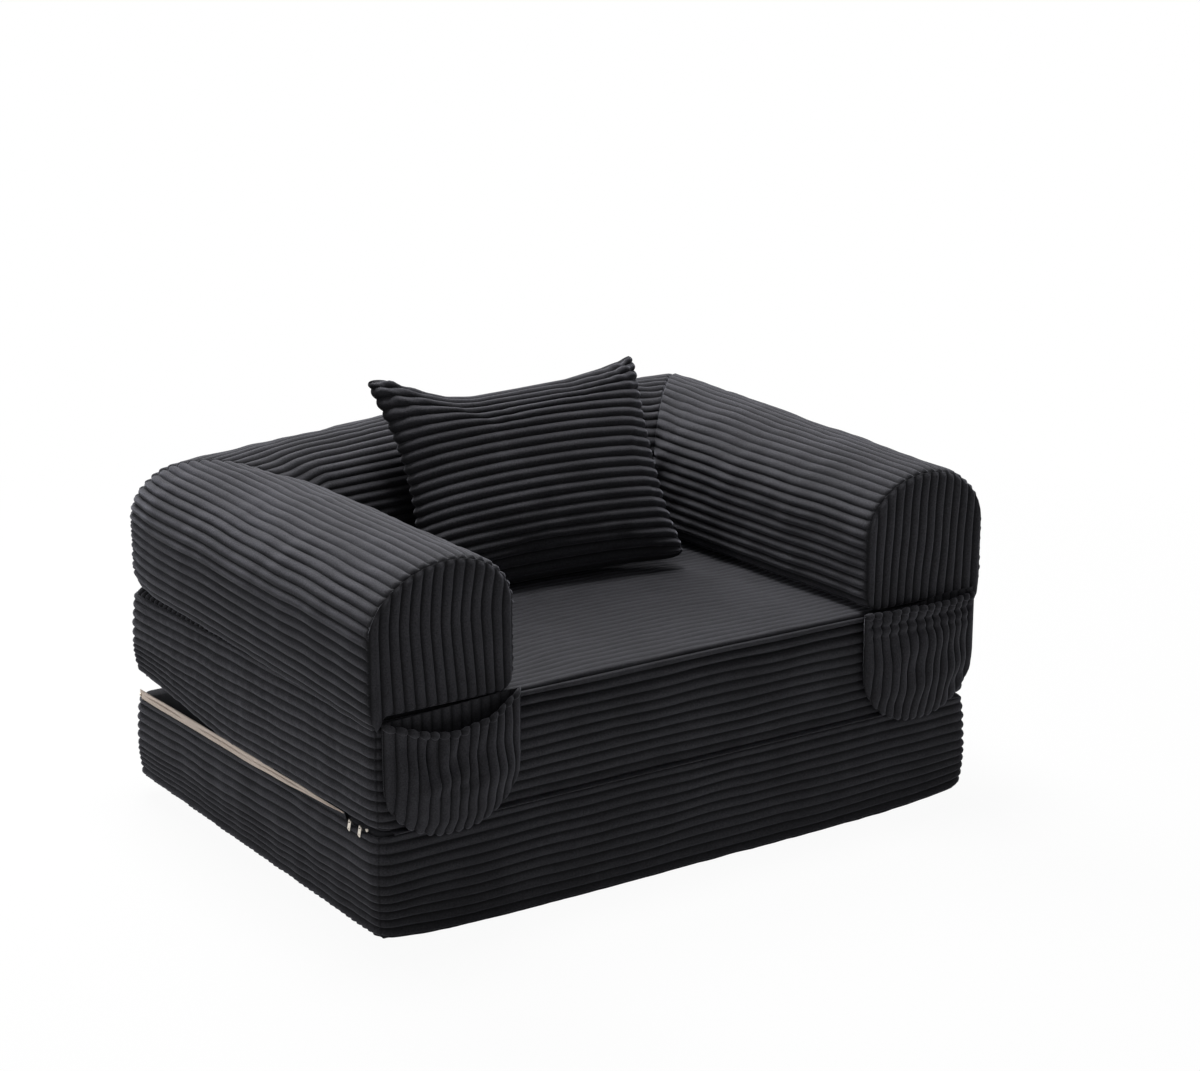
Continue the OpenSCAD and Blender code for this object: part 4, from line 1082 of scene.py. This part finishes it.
def solidsOf(nodeName):  # the lowest and highest corner of each solid of a node
    bm = bmesh.new()
    bm.from_mesh(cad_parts[nodeName].data)
    bmesh.ops.remove_doubles(bm, verts=bm.verts, dist=0.01*mm)
    left, found = set(bm.verts), []
    while left:
        waiting, group = [left.pop()], []
        while waiting:
            vert = waiting.pop()
            group.append(vert.co[:])
            near = {v for edge in vert.link_edges for v in edge.verts if v in left}
            left -= near
            waiting += near
        points = np.array(group)/mm
        found.append((points.min(axis=0), points.max(axis=0)))
    bm.free()
    return sorted(found, key=lambda corners: tuple(np.round(corners[0], 2)))


def makeFlat(name, nodeName, body, restsOn, kind, up):  # cloth with rows of small grains on it
    look = flatPieces[kind]
    pitch, cell = look["pitch"], flatPieces["cell"]
    solids = solidsOf(nodeName)
    cloth, grains = newCloth(name), bmesh.new()
    for low, high in solids:
        size = high - low
        level = (low[2] + high[2])/2

        def place(s, t, i, j):
            flat = np.stack([low[0] + s*size[0], low[1] + t*size[1], np.full(len(s), level)], axis=1)
            height, *wave = flatPieces["wave"]
            flat[:, 2] += height*drift(flat, *wave)
            return flat, np.ones(len(s))

        sewPatch(cloth, evenRows(size[0], cell), evenRows(size[1], cell), place)
        for row, y in enumerate(np.arange(low[1] + pitch/2, high[1], pitch)):
            for x in np.arange(low[0] + pitch*(0.5 + 0.5*(row % 2)), high[0] - pitch*0.4, pitch):
                spot = np.array([x, y, level + up*size[2]*flatPieces["grainUp"]])
                addBlob(grains, spot, np.eye(3), look["grain"])
    piece = finishCloth(cloth, body, look["material"], nodeName, look["slot"])
    thicken(piece, flatPieces["thick"])
    dots = makePiece(grains, name + "Grains", body, look["material"])


hinge = {
    "round": 1.5, "weltShare": 0.6, "pucker": 0.1, "puckerLong": 2.2, "lift": 0.25, "pitch": 4, "rows": 21,
}


def makeHingeStrip():  # a folded strip with a round welt along the crease
    low, high = solidsOf("fold_hinge_strip")[0]
    middle, bend, share = (low[2] + high[2])/2, hinge["round"], hinge["weltShare"]
    length, tail = high[0] - low[0], high[1] - low[1] - 2*bend

    def place(s, t, i, j):
        x = mix(low[0], high[0], s)
        turn = 2*math.pi*ramp(t/share)
        welt, inWelt = low[1] + bend - bend*np.cos(turn + math.pi), t < share
        y = np.where(inWelt, welt, mix(low[1] + 2*bend, high[1], ramp((t - share)/(1 - share))))
        pucker = 1 + hinge["pucker"]*(np.sin(x/hinge["puckerLong"]) - 1)
        z = middle + np.where(inWelt, bend*np.sin(turn)*pucker, hinge["lift"])
        return np.stack([x, y, z], axis=1), np.ones(len(s))

    columns, rows = evenRows(length, hinge["pitch"]), np.linspace(0, 1, hinge["rows"])
    strip = sewOne("foldHingeStrip", columns, rows, place, "seat", corduroy, "fold_hinge_strip")


for flatPiece in flatPieces["pieces"]:
    makeFlat(*flatPiece)
makeHingeStrip()
print("grip panels, tapes and hinge strip laid")

nodeFinish = {"base_zip_stops": zipMetal}
for nodeName in ("seat_foam", "base_foam", "bolster_foam_left", "bolster_foam_right", "bolster_foam_back",
                 "pillow_filling"):
    nodeFinish[nodeName] = foam
for nodeName, finish in nodeFinish.items():
    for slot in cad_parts[nodeName].material_slots:
        slot.material = finish


studio = {
    "floorSize": 40, "floorTone": 0.6, "floorRough": 0.9, "floorShadow": 0.05, "shadowReach": (1.1, 2.4),
    "worldLight": 0.088, "worldColour": (0.95, 0.97, 1, 1), "aim": (0, 0, 0.3),
    "lamps": {
        "backLamp": {"place": (0.2, 2.4, 3.0), "size": 2.2, "power": 141},
        "topLamp": {"place": (-0.1, 0.3, 3.4), "size": 1.2, "power": 112},
        "sideLamp": {"place": (-3.6, 0.9, 1.9), "size": 2.0, "power": 19},
    },
}
camera = {"place": (-2.2112, -3.3117, 1.5109), "turn": (74.231, 0, -34.75), "lens": 81.09, "shift": 0.0174,
          "sensor": 36, "reach": 100}


def whiteForCamera(tree, kind, shaderOut, shadow=0):  # the camera, gloss and glass see it near white
    ray = addNode(tree, "LightPath").outputs
    seen = maths(tree, "MAXIMUM", ray["Is Camera Ray"], ray["Is Glossy Ray"])
    share = 1
    if shadow:  # the shadow shows on the floor near the sofa
        place = addNode(tree, "TexCoord").outputs["Object"]
        away = addNode(tree, "VectorMath", {0: place}, operation="LENGTH").outputs["Value"]
        near, far = studio["shadowReach"]
        share = addNode(tree, "MapRange", {
            "Value": away, "From Min": near, "From Max": far, "To Min": 1 - shadow,
        }).outputs["Result"]
    white = addNode(tree, kind, {"Color": (1, 1, 1, 1), "Strength": 1})
    anySeen = maths(tree, "MAXIMUM", seen, ray["Is Transmission Ray"])
    blend = addNode(tree, "MixShader", {
        "Fac": maths(tree, "MULTIPLY", anySeen, share), 1: shaderOut, 2: white.outputs[0],
    })
    out = next(n for n in tree.nodes if n.type.startswith("OUTPUT_"))
    tree.links.new(blend.outputs[0], out.inputs["Surface"])


def setFloor():
    bm = bmesh.new()
    bmesh.ops.create_grid(bm, x_segments=1, y_segments=1, size=studio["floorSize"]/2)
    mesh = bpy.data.meshes.new("studioFloor")
    bm.to_mesh(mesh)
    bm.free()
    link(bpy.data.objects.new("studioFloor", mesh))
    material, tree, shader = nodeMaterial("palePaper")
    fill(tree, shader, {"Base Color": (*[studio["floorTone"]]*3, 1), "Roughness": studio["floorRough"]})
    whiteForCamera(tree, "Emission", shader.outputs[0], studio["floorShadow"])
    mesh.materials.append(material)


def setWorld():
    world = bpy.data.worlds.new("studioWorld")
    bpy.context.scene.world = world
    world.use_nodes = True
    tree = world.node_tree
    backdrop = next(n for n in tree.nodes if n.type == "BACKGROUND")
    fill(tree, backdrop, {"Color": studio["worldColour"], "Strength": studio["worldLight"]})
    whiteForCamera(tree, "Background", backdrop.outputs[0])


def setLamp(name, lamp):
    data = bpy.data.lights.new(name, "AREA")
    data.shape = "DISK"
    data.size = lamp["size"]
    data.energy = lamp["power"]
    light = link(bpy.data.objects.new(name, data))
    light.location = lamp["place"]
    light.rotation_euler = (Vector(studio["aim"]) - Vector(lamp["place"])).to_track_quat("-Z", "Y").to_euler()


def setCamera():
    data = bpy.data.cameras.new("photoCamera")
    data.lens = camera["lens"]
    data.sensor_width = camera["sensor"]
    data.sensor_fit = "HORIZONTAL"
    data.shift_y = camera["shift"]
    data.clip_end = camera["reach"]
    photoCamera = link(bpy.data.objects.new("photoCamera", data))
    photoCamera.location = camera["place"]
    photoCamera.rotation_euler = [math.radians(angle) for angle in camera["turn"]]
    bpy.context.scene.camera = photoCamera


setFloor()
setWorld()
for lampName, lamp in studio["lamps"].items():
    setLamp(lampName, lamp)
setCamera()
bpy.context.scene.view_settings.view_transform = "Standard"
print("studio ready")
